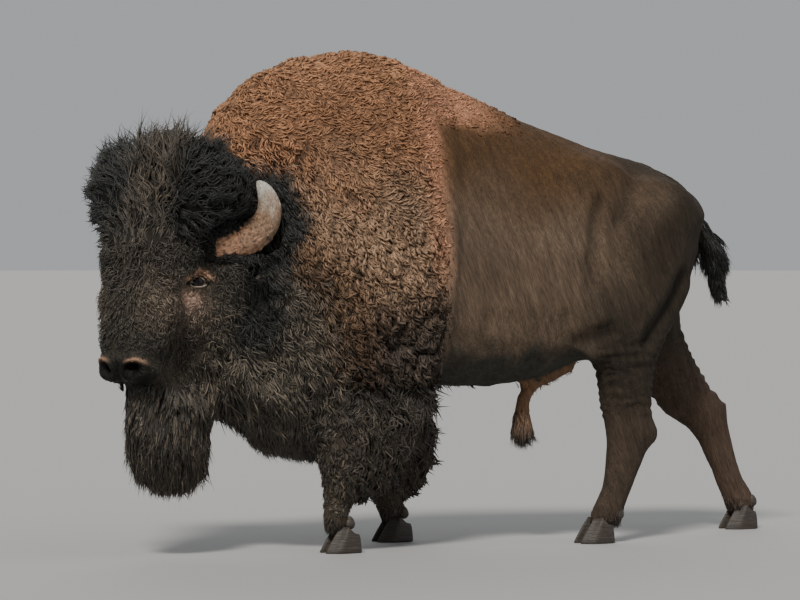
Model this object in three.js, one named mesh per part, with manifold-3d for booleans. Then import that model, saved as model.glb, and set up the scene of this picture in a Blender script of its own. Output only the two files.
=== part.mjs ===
// A life-size American bison bull, walking, as a still museum model.
//
// Units are millimetres. The bull faces -Y, its left side is +X and +Z is up. The floor is z = 0.
// The body is one smooth field, a function that is negative inside the flesh and its coat. The field is
// blended from a lofted trunk, tapering limbs and ellipsoids. Each named node is meshed from it on a grid
// of its own, fine on the head and feet and coarse on the trunk, and parted from its neighbours by thin cuts.
// Horns, ears, eyes, hooves and tail are swept or turned shapes.
import * as THREE from "three";
import { mergeVertices } from "three/addons/utils/BufferGeometryUtils.js";
import { SimplifyModifier } from "three/addons/modifiers/SimplifyModifier.js";
import Module from "manifold-3d";

// ---------------------------------------------------------------- driving dimensions
const GAP = 0.6; // clear space between neighbouring solids
const FAR = 6000; // reach of a cutting block, larger than the animal

const EYE_SPACING = 322; // between the centres of the eyeballs
const EYE_RADIUS = 21;
const HEAD_AT = [92, -752, 962]; // middle of the line between the eyes
const HEAD_YAW = 28; // degrees that the head is turned to its left
const HEAD_PITCH = 12; // degrees that the nose is carried forward of plumb
const CAPE_RISE = 16; // how far the woolly cape stands above the short coat behind it

// Stations of the trunk, front to back:
// y, height of the back, height of the belly, half width, height of the widest point,
// roundness of the upper half and of the lower half (2 is an ellipse, less is more peaked), middle x.
const TRUNK = [
  [-720, 1160, 900, 50, 1020, 2.0, 2.0, 62],
  [-665, 1320, 740, 165, 1010, 2.0, 2.0, 54],
  [-580, 1488, 610, 226, 990, 1.9, 2.1, 38],
  [-480, 1624, 540, 266, 970, 1.8, 2.2, 22],
  [-330, 1715, 490, 300, 950, 1.75, 2.3, 8],
  [-160, 1767, 490, 318, 930, 1.75, 2.3, 0],
  [0, 1784, 515, 324, 925, 1.75, 2.3, 0],
  [160, 1757, 550, 320, 920, 1.75, 2.3, 0],
  [300, 1700, 572, 314, 910, 1.8, 2.2, 0],
  [400, 1670, 572, 314, 905, 1.8, 2.2, 0],
  [520, 1619, 566, 312, 900, 1.85, 2.2, 0],
  [690, 1545, 585, 305, 905, 1.9, 2.2, 0],
  [850, 1484, 640, 290, 930, 2.0, 2.1, 0],
  [1010, 1438, 710, 268, 970, 2.0, 2.1, 0],
  [1180, 1398, 780, 240, 1010, 2.1, 2.0, 0],
  [1280, 1340, 860, 200, 1050, 2.1, 2.0, 0],
  [1345, 1274, 940, 150, 1090, 2.1, 2.0, 0],
  [1382, 1196, 1040, 90, 1120, 2.0, 2.0, 0],
  [1396, 1130, 1100, 20, 1115, 2.0, 2.0, 0],
];

// Legs, top to bottom: y, z, fore-and-aft radius, sideways radius, distance out from the middle plane.
// room bounds the space where a leg is parted from the trunk, under a top that may rise to the rear;
// hair is the plane behind a foreleg, as y, z, y, z, that parts its hanging hair from it.
const LEGS = {
  front_left: {
    side: 1,
    bones: [
      [-250, 930, 190, 95, 205],
      [-125, 745, 145, 92, 215],
      [-128, 600, 105, 76, 207],
      [-140, 480, 80, 62, 198],
      [-142, 402, 70, 58, 192],
      [-142, 335, 60, 49, 189],
      [-138, 225, 50, 43, 187],
      [-134, 125, 57, 49, 186],
      [-132, 88, 52, 46, 186],
    ],
    hoofY: -110,
    hoofLength: 138,
    room: { front: -245, back: 290, top: 590, tilt: 0 },
    hair: [-20, 640, -74, 150],
  },
  front_right: {
    side: -1,
    bones: [
      [-200, 930, 190, 95, 205],
      [-30, 745, 145, 92, 215],
      [40, 600, 100, 74, 207],
      [100, 480, 76, 60, 198],
      [134, 402, 68, 57, 192],
      [158, 335, 57, 48, 189],
      [205, 225, 47, 42, 187],
      [248, 130, 57, 49, 186],
      [254, 88, 50, 46, 186],
    ],
    hoofY: 262,
    hoofLength: 142,
    room: { front: -115, back: 490, top: 590, tilt: 0 },
    hair: [120, 640, 300, 150],
  },
  hind_left: {
    side: 1,
    bones: [
      [1130, 1130, 195, 112, 150],
      [1050, 900, 192, 106, 178],
      [1015, 750, 150, 88, 192],
      [1014, 612, 112, 70, 194],
      [1020, 512, 102, 58, 192],
      [1034, 410, 88, 52, 190],
      [1022, 330, 76, 46, 189],
      [1003, 250, 61, 41, 187],
      [982, 190, 53, 38, 186],
      [962, 140, 53, 38, 186],
      [944, 104, 56, 45, 186],
      [930, 78, 52, 43, 186],
    ],
    hoofY: 903,
    hoofLength: 138,
    hockBack: [1112, 398],
    room: { front: 848, back: 1340, top: 905, tilt: 22 },
  },
  hind_right: {
    side: -1,
    bones: [
      [1130, 1130, 195, 112, 150],
      [1250, 890, 185, 106, 178],
      [1325, 705, 136, 90, 190],
      [1464, 524, 106, 64, 191],
      [1566, 434, 84, 52, 190],
      [1622, 302, 62, 43, 187],
      [1656, 205, 54, 38, 186],
      [1688, 140, 54, 38, 186],
      [1712, 102, 56, 45, 186],
      [1718, 78, 52, 43, 186],
    ],
    hoofY: 1712,
    hoofLength: 138,
    hockBack: [1602, 462],
    room: { front: 1005, back: 1790, top: 905, tilt: 8 },
  },
};
const CORONET = 74; // height where a hoof meets the pastern
const KNEE_CUT = { front: 500, hind: 470 }; // height where the upper leg ends and the shank begins

// ---------------------------------------------------------------- small maths
const radians = THREE.MathUtils.degToRad;
const mix = (a, b, t) => a + (b - a) * t;
const clamp01 = (t) => Math.min(1, Math.max(0, t));
const vec = (a) => new THREE.Vector3(...a);

// Union of two fields with a fillet of about width k.
function smoothMin(a, b, k) {
  const h = Math.max(k - Math.abs(a - b), 0) / k;
  return Math.min(a, b) - (h * h * k) / 4;
}

// Distance along the ray from a shape's middle, for a length and how many radii it spans.
const rayDistance = (length, radii) => (radii > 1e-6 ? length - length / radii : -1e3);

// A monotone cubic through (xs, column of rows), so that a loft never overshoots its stations.
function monotone(rows, column) {
  const x = rows.map((r) => r[0]);
  const y = rows.map((r) => r[column]);
  const slope = x.slice(1).map((xi, i) => (y[i + 1] - y[i]) / (xi - x[i]));
  const tangent = x.map((_, i) => {
    if (i === 0) return slope[0];
    if (i === x.length - 1) return slope[i - 1];
    const [a, b] = [slope[i - 1], slope[i]];
    return a * b <= 0 ? 0 : (2 * a * b) / (a + b);
  });
  return (at) => {
    const t = Math.min(Math.max(at, x[0]), x[x.length - 1]);
    let i = 0;
    while (i < x.length - 2 && t > x[i + 1]) i++;
    const h = x[i + 1] - x[i];
    const s = (t - x[i]) / h;
    const [s2, s3] = [s * s, s * s * s];
    return (
      (2 * s3 - 3 * s2 + 1) * y[i] +
      (s3 - 2 * s2 + s) * h * tangent[i] +
      (3 * s2 - 2 * s3) * y[i + 1] +
      (s3 - s2) * h * tangent[i + 1]
    );
  };
}

// ---------------------------------------------------------------- fields
const station = [1, 2, 3, 4, 5, 6, 7].map((column) => monotone(TRUNK, column));
const [FIRST_Y, LAST_Y] = [TRUNK[0][0], TRUNK[TRUNK.length - 1][0]];

// The trunk and neck: superellipse sections that follow the stations.
function trunkField(p) {
  const [back, belly, width, widest, upper, lower, middle] = station.map((s) => s(p.y));
  const beyond = Math.max(FIRST_Y - p.y, p.y - LAST_Y, 0);
  const [dx, dz] = [p.x - middle, p.z - widest];
  const power = dz > 0 ? upper : lower;
  const height = dz > 0 ? back - widest : widest - belly;
  const radii = ((Math.abs(dx) / width) ** power + (Math.abs(dz) / height) ** power) ** (1 / power);
  return Math.max(rayDistance(Math.hypot(dx, dz), radii), beyond > 0 ? beyond : -1e3);
}

// An ellipsoid, turned by the inverse of frame.
function ellipsoid(centre, radii, frame) {
  const inverse = frame ? frame.clone().invert() : null;
  const q = new THREE.Vector3();
  return (p) => {
    q.copy(p);
    if (inverse) q.applyMatrix4(inverse);
    q.set(q.x - centre[0], q.y - centre[1], q.z - centre[2]);
    const spans = Math.hypot(q.x / radii[0], q.y / radii[1], q.z / radii[2]);
    return rayDistance(q.length(), spans);
  };
}

// A tapering limb through points [x, y, z, fore-and-aft radius, sideways radius].
function limb(points, frame) {
  const inverse = frame ? frame.clone().invert() : null;
  const q = new THREE.Vector3();
  return (p) => {
    q.copy(p);
    if (inverse) q.applyMatrix4(inverse);
    let nearest = Infinity;
    for (let i = 0; i < points.length - 1; i++) {
      const [a, b] = [points[i], points[i + 1]];
      const axis = [b[0] - a[0], b[1] - a[1], b[2] - a[2]];
      const from = [q.x - a[0], q.y - a[1], q.z - a[2]];
      const span = axis[0] ** 2 + axis[1] ** 2 + axis[2] ** 2;
      const t = clamp01((from[0] * axis[0] + from[1] * axis[1] + from[2] * axis[2]) / span);
      const off = [0, 1, 2].map((k) => from[k] - axis[k] * t);
      const depth = Math.hypot(off[1], off[2]);
      const radii = Math.hypot(off[0] / mix(a[4], b[4], t), depth / mix(a[3], b[3], t));
      const d = rayDistance(Math.hypot(off[0], depth), radii);
      nearest = i === 0 ? d : smoothMin(nearest, d, 22);
    }
    return nearest;
  };
}

// Joins fields with one fillet.
const blend = (fields, k) => (p) => fields.reduce((d, f) => smoothMin(d, f(p), k), 1e3);

// The head's own frame: x to its left, y out of the forehead, z up the face.
const headFrame = new THREE.Matrix4()
  .makeTranslation(...HEAD_AT)
  .multiply(new THREE.Matrix4().makeRotationZ(radians(180 + HEAD_YAW)))
  .multiply(new THREE.Matrix4().makeRotationX(radians(HEAD_PITCH)))
  .multiply(new THREE.Matrix4().makeScale(-1, 1, 1));
const inHead = (x, y, z) => vec([x, y, z]).applyMatrix4(headFrame);

const both = (make) => [1, -1].map(make);
const headField = blend(
  [
    ellipsoid([0, -30, 150], [158, 150, 165], headFrame), // cranium and poll
    ellipsoid([0, 100, 85], [212, 114, 160], headFrame), // forehead and forelock
    ellipsoid([0, -150, 60], [165, 130, 190], headFrame), // nape
    ...both((s) => ellipsoid([s * 122, 8, 8], [54, 70, 62], headFrame)), // eye sockets
    limb([[0, 104, 40, 108, 170], [0, 116, -90, 112, 170], [0, 118, -215, 104, 142]], headFrame), // nose
    ellipsoid([0, 110, -308], [114, 93, 78], headFrame), // muzzle
    ...both((s) => ellipsoid([s * 62, 140, -322], [40, 46, 44], headFrame)), // nostril wings
    ...both((s) => ellipsoid([s * 98, -60, -60], [70, 122, 140], headFrame)), // cheeks
    ...both((s) => ellipsoid([s * 186, -125, 96], [88, 85, 146], headFrame)), // hair around the ears
    ellipsoid([0, -160, -190], [120, 130, 180], headFrame), // throat
    limb([[0, -60, -150, 92, 104], [0, -6, -260, 80, 82], [0, 38, -346, 54, 62]], headFrame), // jaw
  ],
  34,
);

const legFields = Object.values(LEGS).map((leg) => {
  const shaft = limb(leg.bones.map(([y, z, deep, wide, out]) => [leg.side * out, y, z, deep, wide]));
  if (!leg.hockBack) return shaft;
  const [y, z] = leg.hockBack;
  const heel = ellipsoid([leg.side * 190, y, z], [32, 44, 52]);
  return (p) => smoothMin(shaft(p), heel(p), 36);
});

// Shoulders, hips, buttocks and the fold of the flank.
const muscleFields = [
  ...both((s) => ellipsoid([s * 222, -190, 905], [112, 225, 330])),
  ...both((s) => ellipsoid([s * 165, 905, 1300], [62, 130, 100])),
  ...both((s) => ellipsoid([s * 136, 1180, 1100], [126, 205, 205])),
  ...both((s) => ellipsoid([s * 100, 1330, 1100], [62, 62, 150])),
  ellipsoid([258, 900, 800], [30, 120, 160]),
  ellipsoid([-244, 1000, 800], [30, 150, 160]),
];

// Long hair that hangs in one mass: the beard, the chest mane and the hair behind each foreleg.
const plumbFrame = new THREE.Matrix4()
  .makeTranslation(...HEAD_AT)
  .multiply(new THREE.Matrix4().makeRotationZ(radians(180 + HEAD_YAW)))
  .multiply(new THREE.Matrix4().makeScale(-1, 1, 1));
const hairFields = [
  limb(
    [[0, 30, -390, 130, 96], [0, -16, -466, 192, 114], [0, -26, -552, 180, 110], [0, -32, -598, 106, 86]],
    plumbFrame,
  ),
  limb([
    [60, -500, 690, 120, 190],
    [40, -400, 590, 140, 215],
    [30, -290, 505, 150, 215],
    [40, -205, 455, 118, 190],
  ]),
  limb([
    [222, 60, 640, 180, 100],
    [222, 88, 540, 172, 98],
    [208, -5, 430, 180, 92],
    [202, -28, 345, 172, 86],
    [196, -34, 300, 145, 78],
    [192, -40, 262, 104, 60],
  ]),
  limb([
    [-222, 190, 640, 170, 100],
    [-212, 235, 500, 185, 98],
    [-202, 262, 400, 200, 92],
    [-198, 280, 310, 184, 85],
    [-195, 296, 272, 146, 76],
    [-192, 306, 236, 108, 58],
  ]),
];

// The whole animal, flesh and coat together.
function bodyField(p) {
  let d = trunkField(p);
  for (const muscle of muscleFields) d = smoothMin(d, muscle(p), 100);
  for (const leg of legFields) d = smoothMin(d, leg(p), 70);
  d = smoothMin(d, headField(p), 70);
  for (const hair of hairFields) d = smoothMin(d, hair(p), 40);
  return d;
}

// The front of the animal, where the cape stands up behind the head.
const FADE = [-680, -480]; // the cape rises from nothing to its full height between these y
const capeField = (p) => bodyField(p) - CAPE_RISE * clamp01((p.y - FADE[0]) / (FADE[1] - FADE[0]));

// The woolly bonnet between and around the horns.
const crownField = blend(
  [
    ellipsoid([0, 70, 316], [338, 204, 212], headFrame),
    ellipsoid([0, 130, 170], [236, 112, 170], headFrame),
    ...both((s) => ellipsoid([s * 190, -95, 300], [108, 88, 124], headFrame)),
  ],
  90,
);

// ---------------------------------------------------------------- meshing
const wasm = await Module();
wasm.setup();

function solidOf(geometry) {
  const plain = geometry.clone();
  for (const name of Object.keys(plain.attributes)) if (name !== "position") plain.deleteAttribute(name);
  const merged = mergeVertices(plain, 1e-3);
  return new wasm.Manifold(
    new wasm.Mesh({
      numProp: 3,
      vertProperties: merged.attributes.position.array,
      triVerts: new Uint32Array(merged.index.array),
    }),
  );
}

function geometryOf(solid) {
  const mesh = solid.getMesh();
  const geometry = new THREE.BufferGeometry();
  geometry.setAttribute("position", new THREE.BufferAttribute(mesh.vertProperties, 3));
  geometry.setIndex(new THREE.BufferAttribute(mesh.triVerts, 1));
  geometry.computeVertexNormals();
  return geometry;
}

// Moves a point on to the zero surface of a field, along the field's own slope.
function settle(field, p, reach) {
  const step = 2;
  for (let pass = 0; pass < 3; pass++) {
    const here = field(p);
    const slope = new THREE.Vector3(
      field(p.clone().setX(p.x + step)) - here,
      field(p.clone().setY(p.y + step)) - here,
      field(p.clone().setZ(p.z + step)) - here,
    ).divideScalar(step);
    const steep = slope.lengthSq();
    if (steep < 1e-4) return p;
    const move = slope.multiplyScalar(-here / steep);
    if (move.length() > reach) move.setLength(reach);
    p.add(move);
  }
  return p;
}

// Fills the corner between two inside corners that meet only across the diagonal of a grid face,
// so that the surface never touches itself along an edge.
function closeDiagonals(value, [nx, ny, nz], index) {
  const turns = [[[1, 0, 0], [0, 1, 0]], [[0, 1, 0], [0, 0, 1]], [[0, 0, 1], [1, 0, 0]]];
  let changed = true;
  while (changed) {
    changed = false;
    for (let k = 1; k < nz - 2; k++)
      for (let j = 1; j < ny - 2; j++)
        for (let i = 1; i < nx - 2; i++)
          for (const [a, b] of turns) {
            const ring = [
              index(i, j, k),
              index(i + a[0], j + a[1], k + a[2]),
              index(i + a[0] + b[0], j + a[1] + b[1], k + a[2] + b[2]),
              index(i + b[0], j + b[1], k + b[2]),
            ];
            const inside = ring.map((n) => value[n] < 0);
            if (inside[0] !== inside[2] || inside[1] !== inside[3] || inside[0] === inside[1]) continue;
            const outer = ring.filter((n) => value[n] >= 0);
            value[value[outer[0]] < value[outer[1]] ? outer[0] : outer[1]] = -0.5;
            changed = true;
          }
  }
}

// The zero surface of a field in a box, as one quad for each grid edge that crosses it.
// low and high are the box's corners and cell its steps, in the frame given.
function netOf(field, low, high, cell, frame = new THREE.Matrix4()) {
  const count = [0, 1, 2].map((k) => Math.ceil((high[k] - low[k]) / cell[k]));
  const [nx, ny, nz] = count.map((n) => n + 1);
  const at = (i, j, k) =>
    new THREE.Vector3(low[0] + i * cell[0], low[1] + j * cell[1], low[2] + k * cell[2]);
  const index = (i, j, k) => (k * ny + j) * nx + i;
  const value = new Float64Array(nx * ny * nz);
  for (let k = 0; k < nz; k++)
    for (let j = 0; j < ny; j++)
      for (let i = 0; i < nx; i++) {
        const edge = i === 0 || j === 0 || k === 0 || i === nx - 1 || j === ny - 1 || k === nz - 1;
        const d = field(at(i, j, k).applyMatrix4(frame));
        value[index(i, j, k)] = edge ? Math.max(d, 1) : d || 1e-6;
      }
  closeDiagonals(value, [nx, ny, nz], index);
  const points = [];
  const vertexOf = new Map();
  const corners = [0, 1, 2, 3, 4, 5, 6, 7].map((c) => [c & 1, (c >> 1) & 1, (c >> 2) & 1]);
  const edges = [];
  for (let a = 0; a < 8; a++)
    for (const bit of [1, 2, 4]) if (!(a & bit)) edges.push([a, a | bit]);
  for (let k = 0; k < nz - 1; k++)
    for (let j = 0; j < ny - 1; j++)
      for (let i = 0; i < nx - 1; i++) {
        const v = corners.map(([a, b, c]) => value[index(i + a, j + b, k + c)]);
        const sum = new THREE.Vector3();
        let crossings = 0;
        for (const [a, b] of edges) {
          if (v[a] < 0 === v[b] < 0) continue;
          const [pa, pb] = [corners[a], corners[b]].map((c) => at(i + c[0], j + c[1], k + c[2]));
          sum.add(pa.lerp(pb, v[a] / (v[a] - v[b])));
          crossings++;
        }
        if (!crossings) continue;
        const onWall = [i, j, k].some((n, axis) => n === 0 || n === count[axis] - 1);
        const p = sum.divideScalar(crossings).applyMatrix4(frame);
        if (!onWall) settle(field, p, Math.min(...cell) * 0.35);
        vertexOf.set(index(i, j, k), points.length);
        points.push(p);
      }
  const triangles = [];
  const quad = (a, b, c, d, flip) => {
    const q = flip ? [a, d, c, b] : [a, b, c, d];
    const shorter = points[q[0]].distanceTo(points[q[2]]) <= points[q[1]].distanceTo(points[q[3]]);
    if (shorter) triangles.push(q[0], q[1], q[2], q[0], q[2], q[3]);
    else triangles.push(q[0], q[1], q[3], q[1], q[2], q[3]);
  };
  const turn = frame.determinant() < 0;
  for (let k = 0; k < nz - 1; k++)
    for (let j = 0; j < ny - 1; j++)
      for (let i = 0; i < nx - 1; i++) {
        const here = value[index(i, j, k)] < 0;
        const cellAt = (a, b, c) => vertexOf.get(index(i - a, j - b, k - c));
        if (here !== value[index(i + 1, j, k)] < 0)
          quad(cellAt(0, 1, 1), cellAt(0, 0, 1), cellAt(0, 0, 0), cellAt(0, 1, 0), here === turn);
        if (here !== value[index(i, j + 1, k)] < 0)
          quad(cellAt(1, 0, 1), cellAt(1, 0, 0), cellAt(0, 0, 0), cellAt(0, 0, 1), here === turn);
        if (here !== value[index(i, j, k + 1)] < 0)
          quad(cellAt(1, 1, 0), cellAt(0, 1, 0), cellAt(0, 0, 0), cellAt(1, 0, 0), here === turn);
      }
  const geometry = new THREE.BufferGeometry();
  geometry.setAttribute("position", new THREE.Float32BufferAttribute(points.flatMap((p) => p.toArray()), 3));
  geometry.setIndex(triangles);
  return geometry;
}

// A closed solid through rings of points, all with the same number of sides, capped by fans.
function closedRings(points, rings, sides) {
  const middleOf = (ring) => {
    const sum = [0, 0, 0];
    for (let j = 0; j < sides; j++)
      for (let k = 0; k < 3; k++) sum[k] += points[(ring * sides + j) * 3 + k] / sides;
    return sum;
  };
  const first = (rings + 1) * sides;
  const all = [...points, ...middleOf(0), ...middleOf(rings)];
  const triangles = [];
  for (let j = 0; j < sides; j++) {
    const k = (j + 1) % sides;
    for (let i = 0; i < rings; i++) {
      const [a, b] = [i * sides + j, i * sides + k];
      triangles.push([a, b, b + sides], [a, b + sides, a + sides]);
    }
    triangles.push([first, k, j], [first + 1, rings * sides + j, rings * sides + k]);
  }
  const geometry = new THREE.BufferGeometry();
  geometry.setAttribute("position", new THREE.Float32BufferAttribute(all, 3));
  geometry.setIndex(triangles.flat());
  const solid = solidOf(geometry);
  if (solid.volume() > 0) return solid;
  geometry.setIndex(triangles.flatMap(([a, b, c]) => [a, c, b]));
  return solidOf(geometry);
}

// A closed sweep: rings along a curve, with a radius for each share t of the way.
// flat narrows each ring along the direction up, and extra swells the whole sweep.
function sweep(curve, radius, steps, sides, { flat = 1, up = new THREE.Vector3(1, 0, 0), extra = 0 } = {}) {
  const points = [];
  for (let i = 0; i <= steps; i++) {
    const t = i / steps;
    const tangent = curve.getTangentAt(t);
    const across = new THREE.Vector3().crossVectors(tangent, up).normalize();
    const narrow = new THREE.Vector3().crossVectors(across, tangent);
    for (let j = 0; j < sides; j++) {
      const a = (2 * Math.PI * j) / sides;
      const p = curve.getPointAt(t);
      if (i === 0) p.addScaledVector(tangent, -extra);
      if (i === steps) p.addScaledVector(tangent, extra);
      p.addScaledVector(across, Math.cos(a) * (radius(t) + extra));
      p.addScaledVector(narrow, Math.sin(a) * (radius(t) * flat + extra));
      points.push(...p.toArray());
    }
  }
  return closedRings(points, steps, sides);
}

// A closed surface with every point moved out along its normal.
function fatten(geometry, by) {
  const fat = geometry.clone();
  fat.computeVertexNormals();
  const { position, normal } = fat.attributes;
  for (let i = 0; i < position.count; i++) {
    const p = new THREE.Vector3().fromBufferAttribute(position, i);
    p.addScaledVector(new THREE.Vector3().fromBufferAttribute(normal, i), by);
    position.setXYZ(i, p.x, p.y, p.z);
  }
  return fat;
}

// A block with one face through a point, reaching FAR away from the side that normal points to.
function below(point, normal) {
  const block = new THREE.BoxGeometry(FAR, FAR, FAR);
  block.translate(0, 0, -FAR / 2);
  const turn = new THREE.Quaternion().setFromUnitVectors(new THREE.Vector3(0, 0, 1), normal.clone().normalize());
  block.applyQuaternion(turn);
  block.translate(point.x, point.y, point.z);
  return solidOf(block);
}
// Cuts a solid along a plane and keeps the side that normal points away from, clear of it by half the gap.
const trim = (solid, point, normal) => {
  const n = normal.clone().normalize();
  return solid.intersect(below(point.clone().addScaledVector(n, -GAP / 2), n));
};
const grown = (field, by) => (p) => field(p) - by;
const largest = (solid) =>
  solid.decompose().reduce((best, piece) => (piece.volume() > best.volume() ? piece : best));

// ---------------------------------------------------------------- the cuts
// Each cut is a plane; before and behind keep one side of it.
const toward = (frame, x, y, z) => vec([x, y, z]).transformDirection(frame);
const CUTS = {
  nape: { at: inHead(0, -172, 40), normal: vec([0.24, -0.95, 0.2]) },
  brow: { at: inHead(0, 0, 112), normal: toward(headFrame, 0, 0, 1) },
  chin: { at: inHead(0, 0, -372), normal: vec([0, 0, 1]) },
  beardBack: { at: vec([40, -575, 0]), normal: vec([0.2, -1, 0]) },
  throat: { at: vec([0, -480, 560]), normal: vec([0, 0.3, 1]) },
  withers: { at: vec([0, -390, 1000]), normal: vec([0.06, 1, 0.25]) },
  ribs: { at: vec([0, 300, 1200]), normal: vec([0, 1, -0.09]) },
  loin: { at: vec([0, 860, 1000]), normal: vec([0, 1, -0.1]) },
};
const under = (solid, cut) => trim(solid, cut.at, cut.normal);
const over = (solid, cut) => trim(solid, cut.at, cut.normal.clone().negate());

// The wedge of space that holds the beard, under the chin and in front of the throat.
const beardRoom = ((nape, chin) => {
  const front = below(nape.at, nape.normal.clone().negate());
  return front.intersect(below(chin.at.clone().addScaledVector(chin.normal, GAP), chin.normal));
})(CUTS.beardBack, CUTS.chin);

// The block of space that holds one leg, from the floor to where it leaves the trunk.
function legRoom(leg, clearance) {
  const { front, back, top, tilt } = leg.room;
  const room = new THREE.BoxGeometry(500, back - front + 2 * clearance, 1400);
  room.translate(leg.side * (62 - clearance + 250), 0, -700 + clearance);
  const slope = Math.tan(radians(tilt));
  room.applyMatrix4(new THREE.Matrix4().set(1, 0, 0, 0, 0, 1, 0, 0, 0, slope, 1, 0, 0, 0, 0, 1));
  room.translate(0, (front + back) / 2, top);
  return solidOf(room);
}

// ---------------------------------------------------------------- nodes
const COLOURS = {
  cape: 0x7a5638,
  flank: 0x57463a,
  dark: 0x2e2620,
  black: 0x1e1a17,
  horn: 0x8a6f5c,
  hoof: 0x2a2420,
  eye: 0x120c08,
  skin: 0x7d6148,
};
const bison = new THREE.Group();
function addNode(name, solid, colour, roughness = 0.9) {
  const material = new THREE.MeshStandardMaterial({ color: colour, roughness, metalness: 0 });
  const mesh = new THREE.Mesh(geometryOf(solid), material);
  mesh.name = name;
  bison.add(mesh);
}

// The net of a field in a box with the share of its vertices that flat places can spare taken out.
async function block(low, high, cell, { field = bodyField, by = 0, frame, spare = 0.5 } = {}) {
  const net = netOf(grown(field, by), low, high, cell, frame);
  return new SimplifyModifier().modify(net, Math.floor(net.attributes.position.count * spare));
}
const mesh = async (...box) => solidOf(await block(...box));

// Head: the face on a fine grid turned with the head, the poll above it on a coarser one.
const faceBlock = await mesh([-280, -330, -450], [280, 290, 150], [29, 29, 29], {
  field: capeField,
  frame: headFrame,
  spare: 0.68,
});
const pollNet = await block([-380, -330, 60], [380, 310, 700], [46, 46, 46], {
  field: capeField,
  frame: headFrame,
  spare: 0.8,
});
const eyeAt = (side) => inHead((side * EYE_SPACING) / 2, 22, 0);
function ball(centre, radius) {
  const sphere = new THREE.SphereGeometry(radius, 10, 6);
  sphere.translate(centre.x, centre.y, centre.z);
  return solidOf(sphere);
}

// Horns: out and back from the side of the skull, then up and in to a point.
const HORN_ROUTE = [
  [110, -40, 150],
  [195, -58, 150],
  [258, -100, 156],
  [314, -142, 200],
  [336, -148, 266],
  [320, -120, 330],
  [288, -85, 380],
];
const hornOf = (side, extra) =>
  sweep(
    new THREE.CatmullRomCurve3(HORN_ROUTE.map(([x, y, z]) => inHead(side * x, y, z))),
    (t) => 53 * (1 - t) ** 0.5 + 2.5,
    11,
    8,
    { flat: 0.92, up: toward(headFrame, 0, 1, 0), extra },
  );
// Ears: short, leaf shaped and half buried in hair below the horns.
const EAR_ROUTE = [[130, -95, 66], [212, -118, 60], [280, -138, 48], [338, -150, 26]];
const earOf = (side, extra) =>
  sweep(
    new THREE.CatmullRomCurve3(EAR_ROUTE.map(([x, y, z]) => inHead(side * x, y, z))),
    (t) => 40 * Math.sin(Math.PI * (0.16 + 0.82 * t)) ** 0.8 + 1.5,
    5,
    8,
    { flat: 0.42, up: toward(headFrame, 0, 1, 0.3), extra },
  );
const hornRooms = both((s) => hornOf(s, GAP));
const earRooms = both((s) => earOf(s, GAP));
const clearOf = (solid, rooms) => rooms.reduce((s, room) => s.subtract(room), solid);

const face = over(under(over(faceBlock, CUTS.nape), CUTS.brow), CUTS.chin);
const sockets = both((s) => ball(eyeAt(s), EYE_RADIUS + GAP));
addNode("face", largest(clearOf(face, [...sockets, ...earRooms, ...hornRooms])), COLOURS.dark);
const poll = over(over(solidOf(pollNet), CUTS.nape), CUTS.brow);
const pollRoom = solidOf(fatten(pollNet, 3 * GAP));
const crownBlock = await mesh([-460, -300, 0], [460, 340, 620], [54, 54, 54], {
  field: crownField,
  frame: headFrame,
  spare: 0.77,
});
addNode("poll", largest(clearOf(poll, [...hornRooms, ...earRooms])), COLOURS.dark);
addNode(
  "crown_hair",
  largest(clearOf(over(over(crownBlock, CUTS.nape), CUTS.brow), [pollRoom, poll, ...hornRooms, ...earRooms])),
  COLOURS.black,
);
for (const [side, name] of [[1, "left"], [-1, "right"]]) {
  addNode(`eye_${name}`, ball(eyeAt(side), EYE_RADIUS), COLOURS.eye, 0.1);
  addNode(`horn_${name}`, hornOf(side, 0), COLOURS.horn, 0.5);
  addNode(`ear_${name}`, earOf(side, 0), COLOURS.black);
}
const beardBlock = await mesh([-330, -320, -760], [330, 260, -320], [44, 44, 44], {
  field: capeField,
  frame: plumbFrame,
  spare: 0.58,
});
addNode("beard", largest(under(over(beardBlock, CUTS.beardBack), CUTS.chin)), COLOURS.black);

// Trunk: neck, hump with shoulders, barrel and rump, each clear of the legs.
const legRooms = Object.values(LEGS).map((leg) => legRoom(leg, GAP));
const clearOfLegs = (solid, ...others) => clearOf(solid, [...legRooms, ...others]);
const neckBlock = await mesh([-420, -800, 440], [480, -250, 1860], [50, 50, 50], { field: capeField, spare: 0.7 });
const neck = over(under(under(neckBlock, CUTS.withers), CUTS.nape), CUTS.throat);
addNode("neck", largest(clearOfLegs(neck, ...earRooms, ...hornRooms, beardRoom)), COLOURS.cape);
const humpBlock = await mesh([-460, -600, 380], [460, 480, 1900], [60, 70, 60], { field: capeField, spare: 0.77 });
const hump = over(under(under(over(humpBlock, CUTS.withers), CUTS.nape), CUTS.ribs), CUTS.throat);
addNode("hump", largest(clearOfLegs(hump, ...earRooms, ...hornRooms)), COLOURS.cape);
const maneBlock = await mesh([-340, -780, 220], [400, 60, 720], [50, 50, 50], { field: capeField, spare: 0.66 });
addNode("chest_mane", largest(clearOfLegs(under(maneBlock, CUTS.throat), beardRoom)), COLOURS.dark);

// Sheath: a fold of skin along the belly that ends in a hanging cone of skin and hair.
const SHEATH_ROUTE = [[22, 880, 660], [23, 800, 612], [24, 722, 574], [25, 684, 528], [26, 676, 470], [26, 680, 410]];
const sheathOf = (extra) =>
  sweep(
    new THREE.CatmullRomCurve3(SHEATH_ROUTE.map(vec)),
    (t) => 42 - 12 * Math.sin(Math.PI * t) - 2 * t,
    9,
    8,
    { extra },
  );
addNode("sheath", sheathOf(0), COLOURS.skin);
const barrelBlock = await mesh([-460, 150, 420], [460, 1000, 1800], [60, 70, 60], { spare: 0.77 });
const barrel = under(over(barrelBlock, CUTS.ribs), CUTS.loin);
addNode("barrel", largest(clearOfLegs(barrel, sheathOf(GAP))), COLOURS.flank);

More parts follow.
